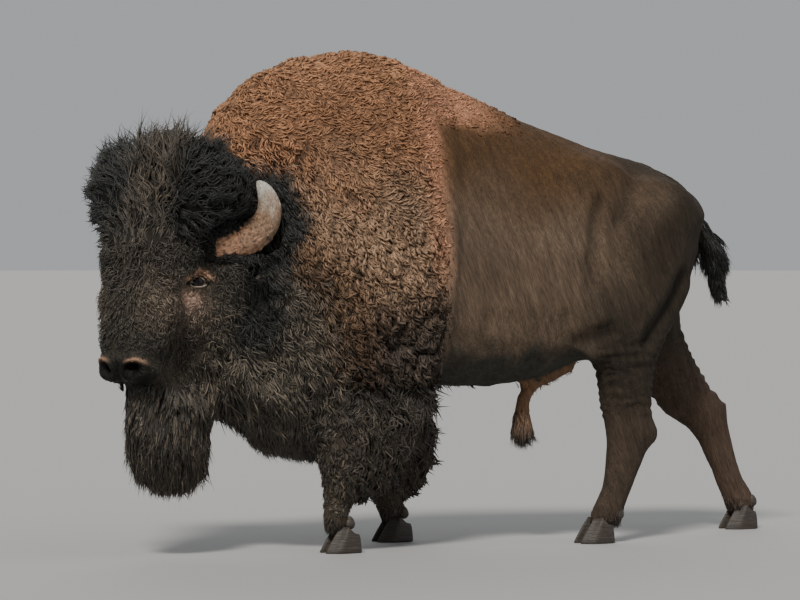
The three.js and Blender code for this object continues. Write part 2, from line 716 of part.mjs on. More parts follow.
// Tail: a short dock over the rump, then a hanging tuft.
const TAIL_ROUTE = [[0, 1225, 1344], [0, 1310, 1312], [0, 1366, 1272], [2, 1402, 1224], [4, 1424, 1186]];
const tailOf = (extra) =>
  sweep(new THREE.CatmullRomCurve3(TAIL_ROUTE.map(vec)), (t) => 36 - 15 * t, 8, 8, { extra });
const tuftCurve = new THREE.CatmullRomCurve3([[4, 1426, 1181], [10, 1462, 1110], [17, 1490, 1005], [21, 1500, 890]].map(vec));
const tuftRadius = (t) => 14 + 38 * Math.sin(Math.PI * Math.min(1, 0.04 + 0.92 * t)) ** 0.8;
const tuftOf = (extra) => sweep(tuftCurve, tuftRadius, 8, 8, { extra });
addNode("tail", tailOf(0), COLOURS.flank);
addNode("tail_tuft", tuftOf(0), COLOURS.black);
// Scrotum: a short bag between the thighs.
const scrotumOf = (extra) =>
  sweep(
    new THREE.CatmullRomCurve3([[0, 1150, 830], [0, 1160, 760], [0, 1172, 640]].map(vec)),
    (t) => 26 + 24 * Math.sin(Math.PI * Math.min(1, 0.1 + 0.78 * t)),
    5,
    8,
    { extra },
  );
addNode("scrotum", scrotumOf(0), COLOURS.dark);
const rumpBlock = await mesh([-460, 720, 560], [460, 1560, 1620], [54, 54, 54], { spare: 0.78 });
const rump = clearOfLegs(over(rumpBlock, CUTS.loin), sheathOf(GAP), tailOf(GAP), tuftOf(GAP), scrotumOf(GAP));
addNode("rump", largest(rump), COLOURS.flank);

// Legs: an upper leg down to the knee or hock, then a shank down to the hoof with two dewclaws behind.
// The hair that hangs behind a foreleg is parted from it by a steep plane.
const dewclawOf = (leg, half, extra) => {
  const fetlock = leg.bones[leg.bones.length - 2];
  const start = vec([leg.side * 186 + half * 24, fetlock[0] + fetlock[2] - 24, 116]);
  const end = start.clone().add(vec([half * 4, 36, -24]));
  return sweep(new THREE.LineCurve3(start, end), (t) => 17 - 9 * t, 1, 7, { extra });
};
for (const [name, leg] of Object.entries(LEGS)) {
  const split = KNEE_CUT[name.split("_")[0]];
  const room = legRoom(leg, -GAP / 2);
  const x = leg.side > 0 ? [20, 440] : [-440, -20];
  const { front, back, top } = leg.room;
  const dewclawRooms = both((s) => dewclawOf(leg, s, GAP));
  const knee = { at: vec([0, 0, split]), normal: vec([0, 0, 1]) };
  const coronet = { at: vec([0, 0, CORONET]), normal: vec([0, 0, 1]) };
  const upperBlock = await mesh([x[0], front - 90, split - 90], [x[1], back + 90, top + 300], [42, 42, 46], {
    spare: 0.72,
  });
  let upper = over(upperBlock.intersect(room), knee);
  const low = leg.bones.filter((b) => b[1] < split + 150);
  const shankFront = Math.min(...low.map((b) => b[0] - b[2])) - 80;
  const shankBack = Math.max(...low.map((b) => b[0] + b[2])) + 80;
  const shankBlock = await mesh([x[0], shankFront, 10], [x[1], shankBack, split + 90], [26, 26, 34], {
    spare: 0.76,
  });
  let shank = over(under(shankBlock.intersect(room), knee), coronet);
  if (leg.hair) {
    const [y0, z0, y1, z1] = leg.hair;
    const parting = { at: vec([0, y0, z0]), normal: vec([0, z0 - z1, y1 - y0]) };
    upper = under(upper, parting);
    shank = under(shank, parting);
    const hairBlock = await mesh([x[0], y1 - 200, 20], [x[1], back + 90, top + 90], [42, 46, 46], {
      spare: 0.64,
    });
    const hair = clearOf(over(hairBlock.intersect(room), parting), dewclawRooms);
    addNode(`foreleg_hair_${name.split("_")[1]}`, largest(hair), COLOURS.black);
  }
  addNode(`leg_upper_${name}`, largest(upper), COLOURS.dark);
  addNode(`shank_${name}`, largest(clearOf(shank, dewclawRooms)), COLOURS.dark);
  for (const [half, where] of [[leg.side, "outer"], [-leg.side, "inner"]]) {
    addNode(`dewclaw_${where}_${name}`, dewclawOf(leg, half, 0), COLOURS.hoof, 0.6);
    addNode(`hoof_${where}_${name}`, clawOf(leg, half), COLOURS.hoof, 0.6);
  }
}

// Hooves: two claws to a foot, each a half oval that widens to a flat sole.
function clawOf(leg, half) {
  const [rings, sides, width] = [2, 8, 50];
  const points = [];
  for (let i = 0; i <= rings; i++) {
    const t = i / rings;
    const spread = 1 + 0.16 * (1 - t);
    for (let j = 0; j < sides; j++) {
      const a = (2 * Math.PI * j) / sides;
      const toe = Math.cos(a) > 0 ? 1 : 0.8;
      const x = (Math.sin(a) * width * spread) / 2;
      const y = -Math.cos(a) * leg.hoofLength * 0.43 * toe * spread - 24 * (1 - t);
      const inner = Math.sign(x) === -half ? 0.72 : 1;
      const middle = leg.side * 186 + half * (width / 2 + 4);
      points.push(middle + x * inner, leg.hoofY + 10 + y, (CORONET - GAP) * t);
    }
  }
  return closedRings(points, rings, sides);
}

// ---------------------------------------------------------------- placing
// The origin is on the floor, under the middle of the model's box.
const box = new THREE.Box3().setFromObject(bison);
bison.position.set(-(box.min.x + box.max.x) / 2, -(box.min.y + box.max.y) / 2, -box.min.z);

export default bison;
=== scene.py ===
# %% [markdown]
# # An american bison bull, standing
# The solids give this animal's size, stance and outline out to the tips of its coat. Here it gets what a
# solid can't hold: one skin without seams, eyes with lids, horns with growth rings, and a coat that
# goes from curly wool on the hump to sleek short hair on the rump.
# The first step loads the solids and keeps their box. The dressed animal passes it by about two
# centimetres at most.

# %% load the solids
import math
import bmesh
import bpy
import numpy as np
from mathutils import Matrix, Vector
from mathutils.bvhtree import BVHTree
from mathutils.kdtree import KDTree


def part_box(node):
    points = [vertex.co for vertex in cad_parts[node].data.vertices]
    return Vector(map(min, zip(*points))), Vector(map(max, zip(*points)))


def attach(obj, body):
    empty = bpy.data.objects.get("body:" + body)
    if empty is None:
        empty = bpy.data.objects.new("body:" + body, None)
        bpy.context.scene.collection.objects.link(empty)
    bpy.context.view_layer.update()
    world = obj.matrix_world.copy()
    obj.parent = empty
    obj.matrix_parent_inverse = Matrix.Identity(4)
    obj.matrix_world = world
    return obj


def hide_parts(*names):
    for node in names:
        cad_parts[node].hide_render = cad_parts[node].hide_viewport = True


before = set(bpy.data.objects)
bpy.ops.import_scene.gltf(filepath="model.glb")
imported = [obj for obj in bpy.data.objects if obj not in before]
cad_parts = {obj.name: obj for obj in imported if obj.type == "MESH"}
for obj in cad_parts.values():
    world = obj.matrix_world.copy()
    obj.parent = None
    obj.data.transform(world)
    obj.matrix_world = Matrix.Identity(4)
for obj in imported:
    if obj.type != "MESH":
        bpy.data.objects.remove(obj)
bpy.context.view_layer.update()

# %% [markdown]
# ## Small tools
# Everything below works on whole arrays of points, because the coat has over a hundred thousand locks.
# The helpers are a unit vector, a soft step between two values, and a cheap smooth noise that is a sum of
# sine waves in fixed random directions. Colours are named as they look and turned into linear light.

# %% helpers
UP = np.array([0.0, 0.0, 1.0])


def unit(v):
    v = np.asarray(v, float)
    return v / np.maximum(np.linalg.norm(v, axis=-1, keepdims=True), 1e-9)


def step(low, high, x):
    t = np.clip((x - low) / (high - low), 0.0, 1.0)
    return t * t * (3.0 - 2.0 * t)


def waves(points, length, seed, count=8):
    rng = np.random.default_rng(seed)
    k = unit(rng.normal(size=(count, 3))) * (2 * math.pi / length) * rng.uniform(0.7, 1.5, (count, 1))
    return np.sin(points @ k.T + rng.uniform(0, 2 * math.pi, count)).sum(1) / math.sqrt(count)


def linear(code):
    c = np.array([int(code[i:i + 2], 16) for i in (0, 2, 4)]) / 255.0
    return np.where(c <= 0.04045, c / 12.92, ((c + 0.055) / 1.055) ** 2.4)


def mix(a, b, t):
    t = np.asarray(t)[..., None]
    return a * (1.0 - t) + b * t


def middle(node):
    low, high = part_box(node)
    return (np.array(low) + np.array(high)) / 2


def new_object(name, data):
    made = bpy.data.objects.new(name, data)
    bpy.context.scene.collection.objects.link(made)
    return made


# %% [markdown]
# ## The head's own directions
# The head is lowered and turned to its left, so its features are easiest to place in a frame of its own:
# x across to the left eye, y out of the forehead, z up to the crown. The line between the two eyes gives
# the turn, and the face leans 12 degrees from upright.

# %% head frame
HEAD_PITCH = math.radians(12)
HEAD_X = unit(middle("eye_left") - middle("eye_right"))
ahead = np.array([HEAD_X[1], -HEAD_X[0], 0.0])
HEAD_Y = ahead * math.cos(HEAD_PITCH) + UP * math.sin(HEAD_PITCH)
HEAD_Z = UP * math.cos(HEAD_PITCH) - ahead * math.sin(HEAD_PITCH)
HEAD_AT = (middle("eye_left") + middle("eye_right")) / 2 - 0.022 * HEAD_Y


def in_head(x, y, z):
    return HEAD_AT + x * HEAD_X + y * HEAD_Y + z * HEAD_Z


def to_head(points):
    return (points - HEAD_AT) @ np.stack([HEAD_X, HEAD_Y, HEAD_Z]).T


BOTH = ((1, "left"), (-1, "right"))
EYE_SPOT = np.array([0.17, 0.03, 0.0])
BEHIND_HORN = np.array([0.24, -0.20, -0.01])
HORN_ROUTE = np.array([(110, -53, 152), (186, -38, 144), (254, -90, 172), (300, -126, 225),
                       (318, -132, 289), (311, -111, 344), (288, -84, 384)]) / 1000


def both_sides(local):
    """Points in the head's frame, with the right half folded over onto the left."""
    return np.abs(local) * [1, 0, 0] + local * [0, 1, 1]


def from_horn(local, first, last):
    """Distance from points in the head's frame to a stretch of the horn's middle line, both sides alike."""
    folded = both_sides(local)
    line = HORN_ROUTE[first:last + 1]
    best = np.full(len(local), 9.0)
    for a, b in zip(line[:-1], line[1:]):
        t = np.clip(((folded - a) @ (b - a)) / ((b - a) @ (b - a)), 0, 1)
        best = np.minimum(best, np.linalg.norm(folded - a - t[:, None] * (b - a), axis=1))
    return best


def round_horn(local):
    """The same for a horn's root, widened forward and outward, where the hair leaves the horn bare."""
    shift = np.array([0.6, 0.75, 0.05]) * np.abs(np.sign(local[:, :1]))
    folded = both_sides(local)
    near = [from_horn(folded - shift * s, 1, 2) for s in (0.0, 0.02, 0.04)]
    return np.minimum.reduce(near + [from_horn(folded, 1, 5)])


print("head at", HEAD_AT.round(3), "x", HEAD_X.round(3))

# %% [markdown]
# ## Camera
# A long lens from far off, at about the height of a standing person's chest, 24 degrees ahead of square to
# the animal's left side. It is settled first, because every later choice is judged through it.

# %% camera
CAMERA_AT = (13.683, -6.488, 1.25)
LOOK_AT = (-0.01966, -0.38685, 1.25)
TURN_ASIDE = math.radians(0.6875)
TIP_DOWN = math.radians(1.364)
camera_data = bpy.data.cameras.new("camera")
camera = new_object("camera", camera_data)
bpy.context.scene.camera = camera
camera_data.lens = 187.5
camera_data.sensor_width = 36.0
camera_data.clip_end = 200.0
camera.location = CAMERA_AT
aim = Vector(LOOK_AT) - camera.location
turn = math.atan2(aim.y, aim.x) - TURN_ASIDE
aim = Vector((math.cos(turn) * math.cos(TIP_DOWN), math.sin(turn) * math.cos(TIP_DOWN), -math.sin(TIP_DOWN)))
camera.rotation_mode = "QUATERNION"
camera.rotation_quaternion = aim.to_track_quat("-Z", "Y")

# %% [markdown]
# ## The shell: all the flesh as one closed surface
# The real animal's hide runs over every joint between the solids, so the solids of flesh and of hanging
# hair are swollen by under a millimetre, which closes the gaps between them, and melted into one shell
# of small equal squares. The shell is the outline at the tips of the coat. Rounds of smoothing that
# alternate in and out take the facets off it and leave its size.

# %% shell
APART = ("eye", "ear", "horn", "hoof", "dewclaw")
FLESH = sorted(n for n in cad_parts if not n.startswith(APART))
VOXEL = 0.0138
SWELL = 0.0009
SMOOTH_ROUNDS = 14
bm = bmesh.new()
owner = []
MELTED = FLESH + ["eye_left", "eye_right"]
for index, name in enumerate(MELTED):
    before = len(bm.faces)
    bm.from_mesh(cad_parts[name].data)
    owner += [index] * (len(bm.faces) - before)
cad_tree = BVHTree.FromBMesh(bm)
owner = np.array(owner)
bmesh.ops.remove_doubles(bm, verts=bm.verts, dist=1e-5)
bm.normal_update()
for v in bm.verts:
    v.co += v.normal * SWELL
shell_mesh = bpy.data.meshes.new("shell")
bm.to_mesh(shell_mesh)
bm.free()
shell = new_object("shell", shell_mesh)
melt = shell.modifiers.new("melt", "REMESH")
melt.mode = "VOXEL"
melt.voxel_size = VOXEL
melted = bpy.data.meshes.new_from_object(shell.evaluated_get(bpy.context.evaluated_depsgraph_get()))
bpy.data.objects.remove(shell)


def points_of(mesh):
    co = np.zeros(len(mesh.vertices) * 3, np.float32)
    mesh.vertices.foreach_get("co", co)
    return co.reshape(-1, 3).astype(float)


def set_points(mesh, co):
    mesh.vertices.foreach_set("co", co.astype(np.float32).ravel())


def edges_of(mesh):
    e = np.zeros(len(mesh.edges) * 2, np.int32)
    mesh.edges.foreach_get("vertices", e)
    return e.reshape(-1, 2)


def relax(co, edges, share, rounds, weight=1.0):
    n = len(co)
    a, b = edges.T
    degree = np.maximum(np.bincount(a, minlength=n) + np.bincount(b, minlength=n), 1)[:, None]
    flat = co.ndim == 1
    co = co[:, None] if flat else co
    weight = np.broadcast_to(np.asarray(weight, float), (n,))[:, None]
    for _ in range(rounds):
        near = [np.bincount(a, co[b, k], n) + np.bincount(b, co[a, k], n) for k in range(co.shape[1])]
        co = co + (np.stack(near, 1) / degree - co) * share * weight
    return co[:, 0] if flat else co


def taubin(co, edges, rounds):
    for _ in range(rounds):
        co = relax(relax(co, edges, 0.5, 1), edges, -0.52, 1)
    return co


def normals_of(co, corners):
    out = np.zeros_like(co)
    if corners.shape[1] == 4:
        face = np.cross(co[corners[:, 2]] - co[corners[:, 0]], co[corners[:, 3]] - co[corners[:, 1]])
    else:
        face = np.cross(co[corners[:, 1]] - co[corners[:, 0]], co[corners[:, 2]] - co[corners[:, 0]])
    for c in range(corners.shape[1]):
        for k in range(3):
            out[:, k] += np.bincount(corners[:, c], face[:, k], len(co))
    return unit(out)


def areas_of(co, tris):
    corner = co[tris]
    return np.linalg.norm(np.cross(corner[:, 1] - corner[:, 0], corner[:, 2] - corner[:, 0]), axis=1) / 2


def corners_of(mesh, count):
    ids = np.zeros(len(mesh.loops), np.int32)
    mesh.loops.foreach_get("vertex_index", ids)
    return ids.reshape(-1, count)


edges = edges_of(melted)
quads = corners_of(melted, 4)
outer = taubin(points_of(melted), edges, SMOOTH_ROUNDS)
local = to_head(outer)
brow = step(0.0, 0.06, local[:, 2]) * step(0.24, 0.14, local[:, 2]) * step(0.0, 0.08, local[:, 1])
outer = relax(outer, edges, 0.6, 30, brow * (np.abs(local[:, 0]) < 0.3))
print("shell:", len(outer), "points", len(quads), "squares")

# %% [markdown]
# ## How deep the coat is
# The hide lies under the tips of the coat: six millimetres on the flank, one to four centimetres in the
# wool, three in the beard, and four to eight in the trousers, the mane and the middle of the bonnet. Each
# point of the shell takes the depth of the solid it came from, and the steps between them are smoothed out.
# Bare places such as the muzzle and the rims of the eyes have two or three millimetres. The buttocks are
# drawn in by up to five centimetres as well, though their hair is short, since their solid is too full.

# %% coat depth
DEPTH = {
    "face": 0.012, "poll": 0.060, "crown_hair": 0.078, "beard": 0.030, "neck": 0.036, "hump": 0.027,
    "chest_mane": 0.062, "barrel": 0.006, "rump": 0.005, "tail": 0.006, "tail_tuft": 0.022,
    "foreleg_hair_left": 0.046, "foreleg_hair_right": 0.046, "leg_upper_front_left": 0.022,
    "leg_upper_front_right": 0.022, "shank_front_left": 0.012, "shank_front_right": 0.012, "sheath": 0.006,
}
nearest = np.array([owner[cad_tree.find_nearest(Vector(p))[2]] for p in outer])
part = np.array([n if n in FLESH else "face" for n in MELTED])[nearest]
poll_top = (part == "poll") & (to_head(outer) @ [0, -0.45, 1.0] > 0.40)
part[poll_top] = "neck"
CAPE_END = -0.148
BUTTOCK_IN = 0.050
DRAW_STEPS = 8


def cape_end(points):
    return CAPE_END + 0.012 * waves(points * [0, 0, 1], 0.5, 3)


def throat_far(points):
    return np.linalg.norm(to_head(points) - [0.12, -0.22, -0.20], axis=1)


def spine_strip(points):
    """The tongue of cape that runs back over the spine, from 1 at its front and middle to 0 at its edges."""
    edge = cape_end(points)
    low = 1.530 - 0.05 * step(-0.15, 0.35, points[:, 1]) + 0.008 * waves(points, 0.06, 4)
    share = step(edge - 0.01, edge + 0.01, points[:, 1]) * step(0.30, -0.05, points[:, 1])
    return share * step(low - 0.03, low + 0.05, points[:, 2] + 0.015 * waves(points, 0.05, 6))


local = to_head(outer)
depth = np.array([DEPTH.get(p, 0.004) for p in part])
behind_cape = np.isin(part, ["hump", "neck"]) & (outer[:, 1] > cape_end(outer))
depth[behind_cape] = 0.006
depth = np.where(behind_cape, depth + 0.007 * spine_strip(outer) * step(0.40, -0.10, outer[:, 1]), depth)
shaggy_depth = np.maximum(step(0.56, 0.40, throat_far(outer)), step(0.24, 0.16, from_horn(local, 1, 5)))
woolly = np.isin(part, ["hump", "neck"]) & ~behind_cape
depth = np.where(woolly, 0.013 + 0.024 * shaggy_depth, depth)
is_face = part == "face"
bridge = step(0.02, 0.06, local[:, 1]) * step(-0.262, -0.20, local[:, 2])
depth = np.where(is_face, depth + 0.002 * bridge, depth)
depth = np.where(np.isin(part, ["crown_hair", "poll"]) & (np.abs(local[:, 0]) > 0.15), 0.036, depth)
by_horn = step(0.088, 0.052, round_horn(local)) * np.isin(part, ["crown_hair", "poll", "face"])
depth = depth + 0.014 * by_horn
depth = np.where((part == "beard") & (local[:, 2] > -0.43), 0.014, depth)
depth = relax(depth, edges, 0.6, 9)
muzzle = step(-0.225, -0.272, local[:, 2]) * step(0.045, 0.09, local[:, 1]) * (np.abs(local[:, 0]) < 0.14)
eye_near = np.minimum(*(np.linalg.norm(local - [s * 0.161, 0.022, 0], axis=1) for s in (1, -1)))
depth = depth * (1 - muzzle) + 0.003 * muzzle
depth = 0.002 + (depth - 0.002) * step(0.03, 0.085, eye_near)
outward = np.stack([0.407 * np.sign(outer[:, 0]), np.full(len(outer), 0.913), np.zeros(len(outer))], 1)
reach = (outer * outward).sum(1)
furthest = reach[part == "rump"].max()
buttock = np.isin(part, ["rump", "leg_upper_hind_left", "leg_upper_hind_right"])
buttock = buttock * step(1.215, 1.10, outer[:, 2]) * step(0.88, 0.98, outer[:, 2])
buttock = relax(buttock * step(furthest - 0.26, furthest - 0.03, reach), edges, 0.5, 4)
inner = outer - outward * (BUTTOCK_IN * buttock)[:, None]
for _ in range(DRAW_STEPS):
    inner = inner - normals_of(inner, quads) * depth[:, None] / DRAW_STEPS
    inner = relax(inner, edges, 0.35, 2, np.clip(depth / 0.03 - 0.25, 0, 1))
print("coat depth mm:", (depth.min() * 1000).round(1), "to", (depth.max() * 1000).round(1))

# %% [markdown]
# ## Finer squares where the face needs them
# Lids, nostrils and lips are a few millimetres thick, so the squares are split once over the face,
# twice round the nose and three times round the eyes. The values kept at each point are read back from a
# corner of the nearest old square.

# %% finer face
hide = bmesh.new()
for p in inner:
    hide.verts.new(p)
hide.verts.ensure_lookup_table()
for q in quads:
    hide.faces.new([hide.verts[i] for i in q])


def split_where(bm, wanted):
    faces = [f for f in bm.faces if wanted(to_head(np.array(f.calc_center_median())))]
    chosen = {e for f in faces for e in f.edges}
    bmesh.ops.subdivide_edges(bm, edges=list(chosen), cuts=1, use_grid_fill=True, smooth=0.3)


def near_face(l):
    return abs(l[0]) < 0.24 and l[1] > -0.03 and -0.40 < l[2] < 0.10


def near_eye(l):
    return math.dist((abs(l[0]), l[1], l[2]), (0.170, 0.025, 0.0)) < 0.064


def near_nose(l):
    return abs(l[0]) < 0.13 and l[1] > 0.06 and -0.40 < l[2] < -0.265


split_where(hide, near_face)
split_where(hide, lambda l: near_eye(l) or near_nose(l))
split_where(hide, lambda l: math.dist((abs(l[0]), l[1], l[2]), (0.172, 0.025, 0.0)) < 0.046)
bmesh.ops.triangulate(hide, faces=hide.faces)
skin_mesh = bpy.data.meshes.new("skin")
hide.to_mesh(skin_mesh)
hide.free()
co = points_of(skin_mesh)
edges = edges_of(skin_mesh)
tris = corners_of(skin_mesh, 3)
old = BVHTree.FromPolygons(inner.tolist(), quads.tolist())
old_square = np.array([old.find_nearest(Vector(p))[2] for p in co])
old_point = quads[old_square][:, 0]
part = part[old_point]
depth = relax(depth[old_point], edges, 0.5, 2)
local = to_head(co)
print("skin:", len(co), "points", len(tris), "triangles")

# %% [markdown]
# ## Eyes
# The eye is a dark ball 68 mm across, set in the side of the head and looking out and a little forward.
# That is larger than its solid. The skin is laid over the ball as two lids that leave an almond opening
# 70 mm long, with a brow fold above and a tear corner in front. Everything is done on both sides by
# mirroring the head's x.

# %% lids
EYE_RADIUS = 0.034
OPEN_LONG = 0.0350
OPEN_HIGH = 0.0185
eye_out = unit(np.array([1.0, 0.62, 0.04]))
eye_along = unit(np.array([-0.55, 0.80, -0.20]))
eye_along = unit(eye_along - eye_out * (eye_along @ eye_out))
eye_up = np.cross(eye_out, eye_along)
if eye_up[2] < 0:
    eye_up = -eye_up
bare_rim, upper_lid, lower_rim = np.zeros((3, len(co)))


def skin_near(y, z):
    """The distance along x from the head's middle plane to the skin, on the left of the head."""
    tree = BVHTree.FromPolygons(local.tolist(), tris.tolist())
    hit = tree.ray_cast(Vector((0.4, y, z)), Vector((-1, 0, 0)))[0]
    return hit.x


eye_x = skin_near(0.025, 0.0)
EYE_AT = np.array([eye_x, 0.025, 0.0]) - eye_out * (EYE_RADIUS - 0.007)
print("eye centre in the head's frame:", EYE_AT.round(3))
for side in (1, -1):
    flip = np.array([side, 1.0, 1.0])
    rel = local * flip - EYE_AT
    a, b, c = rel @ eye_along, rel @ eye_up, rel @ eye_out
    reach = np.hypot(a, b)
    close = (reach < 0.075) & (c > -0.05)
    half = OPEN_HIGH * np.sqrt(np.clip(1 - (a / OPEN_LONG) ** 2, 0, 1))
    lift = np.where(b > 0, 1.0, 0.78)
    edge = np.abs(b) - half * lift
    outside = np.hypot(np.maximum(np.abs(a) - OPEN_LONG * 0.92, 0), np.maximum(edge, 0))
    inside = (edge < 0) & (np.abs(a) < OPEN_LONG)
    ball = np.sqrt(np.clip((EYE_RADIUS + 0.0034) ** 2 - reach ** 2, 0, None))
    lid = np.maximum(ball, c * step(0.010, 0.026, reach))
    roll = 0.0022 * np.exp(-(((outside - 0.003) / 0.003) ** 2))
    crease = -0.0045 * np.exp(-(((outside - 0.0125) / 0.003) ** 2)) * (b > -0.004)
    under = -0.0028 * np.exp(-(((outside - 0.014) / 0.0035) ** 2)) * (b < 0)
    brow = 0.007 * np.exp(-(((outside - 0.024) / 0.008) ** 2)) * step(-0.005, 0.012, b)
    height = lid + roll + crease + under + brow
    keep = step(0.036, 0.070, reach)
    new_c = c * keep + height * (1 - keep)
    new_c = np.where(inside, np.minimum(ball - 0.014, c), new_c)
    moved = EYE_AT + a[:, None] * eye_along + b[:, None] * eye_up + new_c[:, None] * eye_out
    local = np.where(close[:, None], moved * flip, local)
    corner = step(0.058, 0.044, np.abs(a)) * step(0.028, 0.034, np.abs(a))
    corner = corner * step(0.011, 0.005, np.abs(b + 0.08 * np.abs(a)))
    bare_rim = np.maximum(bare_rim, close * np.maximum(step(0.0085, 0.003, outside), corner))
    brow_at = np.hypot((a - 0.008) / 0.078, (b - 0.032 + 4.0 * a * a) / 0.024)
    upper_lid = np.maximum(upper_lid, (c > -0.05) * step(1.15, 0.75, brow_at))
    crescent = step(0.0052, 0.0028, np.abs(outside - 0.0012)) * step(-0.006, -0.010, b)
    lower_rim = np.maximum(lower_rim, close * crescent)
co = in_head(0, 0, 0) + local @ np.stack([HEAD_X, HEAD_Y, HEAD_Z])

# %% [markdown]
# ## Nose and mouth
# The nostrils are slanting ovals that open forward, with a thick rolled rim, and the bare muzzle
# between them is split by a shallow groove that runs down to the upper lip. The mouth is a groove that
# runs back along the side of the jaw. All are sculpt-like moves along the skin's own normals.

# %% nose and mouth
normal = normals_of(co, tris)


def bump_along(distance, width):
    return np.exp(-((distance / width) ** 2))


x, y, z = np.abs(local[:, 0]), local[:, 1], local[:, 2]
front = step(0.05, 0.10, y)
u = (x - 0.062) / 0.034
v = (z + 0.338 - 0.25 * (x - 0.062)) / 0.023
ring = np.hypot(u, v)
hole = step(1.05, 0.55, ring) * front
rim = np.exp(-(((ring - 1.28) / 0.24) ** 2)) * front
wing = np.exp(-(((x - 0.098) / 0.012) ** 2 + ((z + 0.332) / 0.024) ** 2)) * front
groove = bump_along(local[:, 0], 0.006) * step(-0.30, -0.325, z) * front
lip_line = -0.384 + 0.10 * np.clip(0.15 - y, 0, 0.2) + 0.006 * waves(local, 0.12, 5)
lips = bump_along(z - lip_line, 0.007) * step(0.0, 0.05, y) * (x < 0.14)
upper_lip = bump_along(z - lip_line - 0.020, 0.012) * step(0.0, 0.05, y) * (x < 0.14)
pebbles = waves(local, 0.013, 23) * 0.0009 + waves(local, 0.035, 24) * 0.0016
move = pebbles * step(-0.27, -0.30, z) * front - 0.034 * hole + 0.0065 * rim + 0.004 * wing
move = move - 0.0035 * groove - 0.010 * lips + 0.004 * upper_lip
tear = np.exp(-(((x - 0.150) / 0.02) ** 2 + ((z + 0.055) / 0.03) ** 2)) * step(0.02, 0.05, y)
move = move - 0.004 * tear
co = co + normal * move[:, None]
local = to_head(co)
wet = np.clip(step(-0.300, -0.322, z) * step(0.085, 0.115, y) * step(0.118, 0.090, x), 0, 1)

# %% [markdown]
# ## Folds of the hide
# A bull's hide folds where its legs pull on it: a crease falls from the hip to the flank, another
# runs from behind the thigh down to the stifle, the ribs and the hip bone show faintly, and small rings
# of wrinkles lie above the hock. Each fold is a line of a few points on the body's side, and the
# skin dips along it with a soft roll beside it.

# %% folds
trunk = np.isin(part, ["barrel", "rump", "hump", "neck", "leg_upper_hind_left", "leg_upper_hind_right"])


def along_line(points, line):
    """Distance from each point to a bent line seen from the side, and how far along it that is."""
    best = np.full(len(points), 9.0)
    share = np.zeros(len(points))
    flat = points[:, 1:]
    line = np.array(line)
    for k in range(len(line) - 1):
        a, b = line[k], line[k + 1]
        t = np.clip(((flat - a) @ (b - a)) / ((b - a) @ (b - a)), 0, 1)
        d = np.linalg.norm(flat - a - t[:, None] * (b - a), axis=1)
        share = np.where(d < best, (k + t) / (len(line) - 1), share)
        best = np.minimum(best, d)
    return best, share


normal = normals_of(co, tris)
FOLDS = [
    ([(0.52, 1.30), (0.47, 1.17), (0.44, 1.02), (0.47, 0.90)], 0.022, 0.012),
    ([(0.86, 1.02), (0.80, 0.90), (0.71, 0.78), (0.64, 0.69)], 0.026, 0.018),
    ([(0.36, 0.72), (0.47, 0.76), (0.55, 0.80)], 0.030, 0.012),
    ([(0.70, 1.38), (0.62, 1.27), (0.56, 1.13)], 0.030, 0.008),
]
move, creased = np.zeros((2, len(co)))
for line, width, deep in FOLDS:
    far, share = along_line(co, line)
    ends = step(0, 0.15, share) * step(1, 0.8, share)
    move += (-deep * bump_along(far, width) + 0.45 * deep * bump_along(far - 2.1 * width, width)) * ends
    # How creased each point is; this later paints the colour darker along the folds as shade.
    creased = np.maximum(creased, bump_along(far, width) * ends * min(deep / 0.018, 1.0))
ribs = np.sin((co[:, 1] - 0.25 * (co[:, 2] - 1.0)) * 2 * math.pi / 0.105) * 0.0016
move += ribs * step(-0.10, 0.0, co[:, 1]) * step(0.42, 0.30, co[:, 1]) * step(1.35, 1.2, co[:, 2])
streaks = waves(co * [1, 1, 0.16], 0.045, 21) * 0.0006
move += streaks * np.isin(part, ["barrel", "rump"])
wrinkle = np.sin((co[:, 2] + 0.10 * co[:, 1]) * 2 * math.pi / 0.030 + 2.0 * waves(co, 0.15, 22)) * 0.0036
gaskin = step(0.36, 0.46, co[:, 2]) * step(0.82, 0.72, co[:, 2]) * np.char.startswith(part, "leg_upper_hind")
move += wrinkle * gaskin
woolly = np.isin(part, ["hump", "neck"]) * (co[:, 1] < cape_end(co))
crumple = waves(co * [0.7, 1.3, 0.8], 0.16, 31) * 0.006 + waves(co * [1, 1.2, 0.6], 0.07, 32) * 0.0030


def deep_folds(points):
    """The large crooked folds of loose hide between the elbow and the middle of the shoulder."""
    net = np.abs(waves(points * [0.8, 1.35, 0.75], 0.20, 33, 12))
    return step(0.26, 0.0, net) * step(1.28, 1.02, points[:, 2]) * step(-0.70, -0.52, points[:, 1])


calm = 0.4 + 0.6 * step(1.60, 1.30, co[:, 2])
move += relax(woolly.astype(float), edges, 0.5, 5) * (crumple * calm - 0.024 * deep_folds(co))
co = co + normal * move[:, None]
set_points(skin_mesh, co)
skin_mesh.update()

# %% [markdown]
# ## Markings
# One function of place gives the colour of skin and coat alike. The cape is orange brown, brightest on the
# hump and on the strip that runs back over the spine, paler along its rear edge as painted highlight, and
# darker low on the shoulder. Behind it the short coat is grey brown, and darker towards the thighs and under
# the belly, where the darkening is partly its own colour and partly painted shade. The bonnet, beard and
# forelegs are black brown, the mane is lighter, and a paler patch lies below the eye.

# %% markings
SHADES = {
    "orange": linear("8e684d"), "edge_highlight": linear("a97a5f"), "cape_mid": linear("8b715b"),
    "cape_low": linear("4a413a"), "rear": linear("544639"), "rear_top": linear("44311e"),
    "rump": linear("2c241b"), "thigh": linear("2b251d"), "low_leg": linear("3b3128"),
    "belly": linear("383630"), "black": linear("191a17"), "face": linear("3f3a32"),
    "face_brown": linear("736455"), "patch": linear("dcb59f"), "beard": linear("333129"),
    "muzzle": linear("0a0806"), "sheath": linear("7d5f48"), "far_leg": linear("4b3c31"),
    "neck": linear("533e2d"), "lid": linear("9e7c64"), "mane": linear("585044"), "rim": linear("a49589"),
    "brown_black": linear("3a332a"),
}


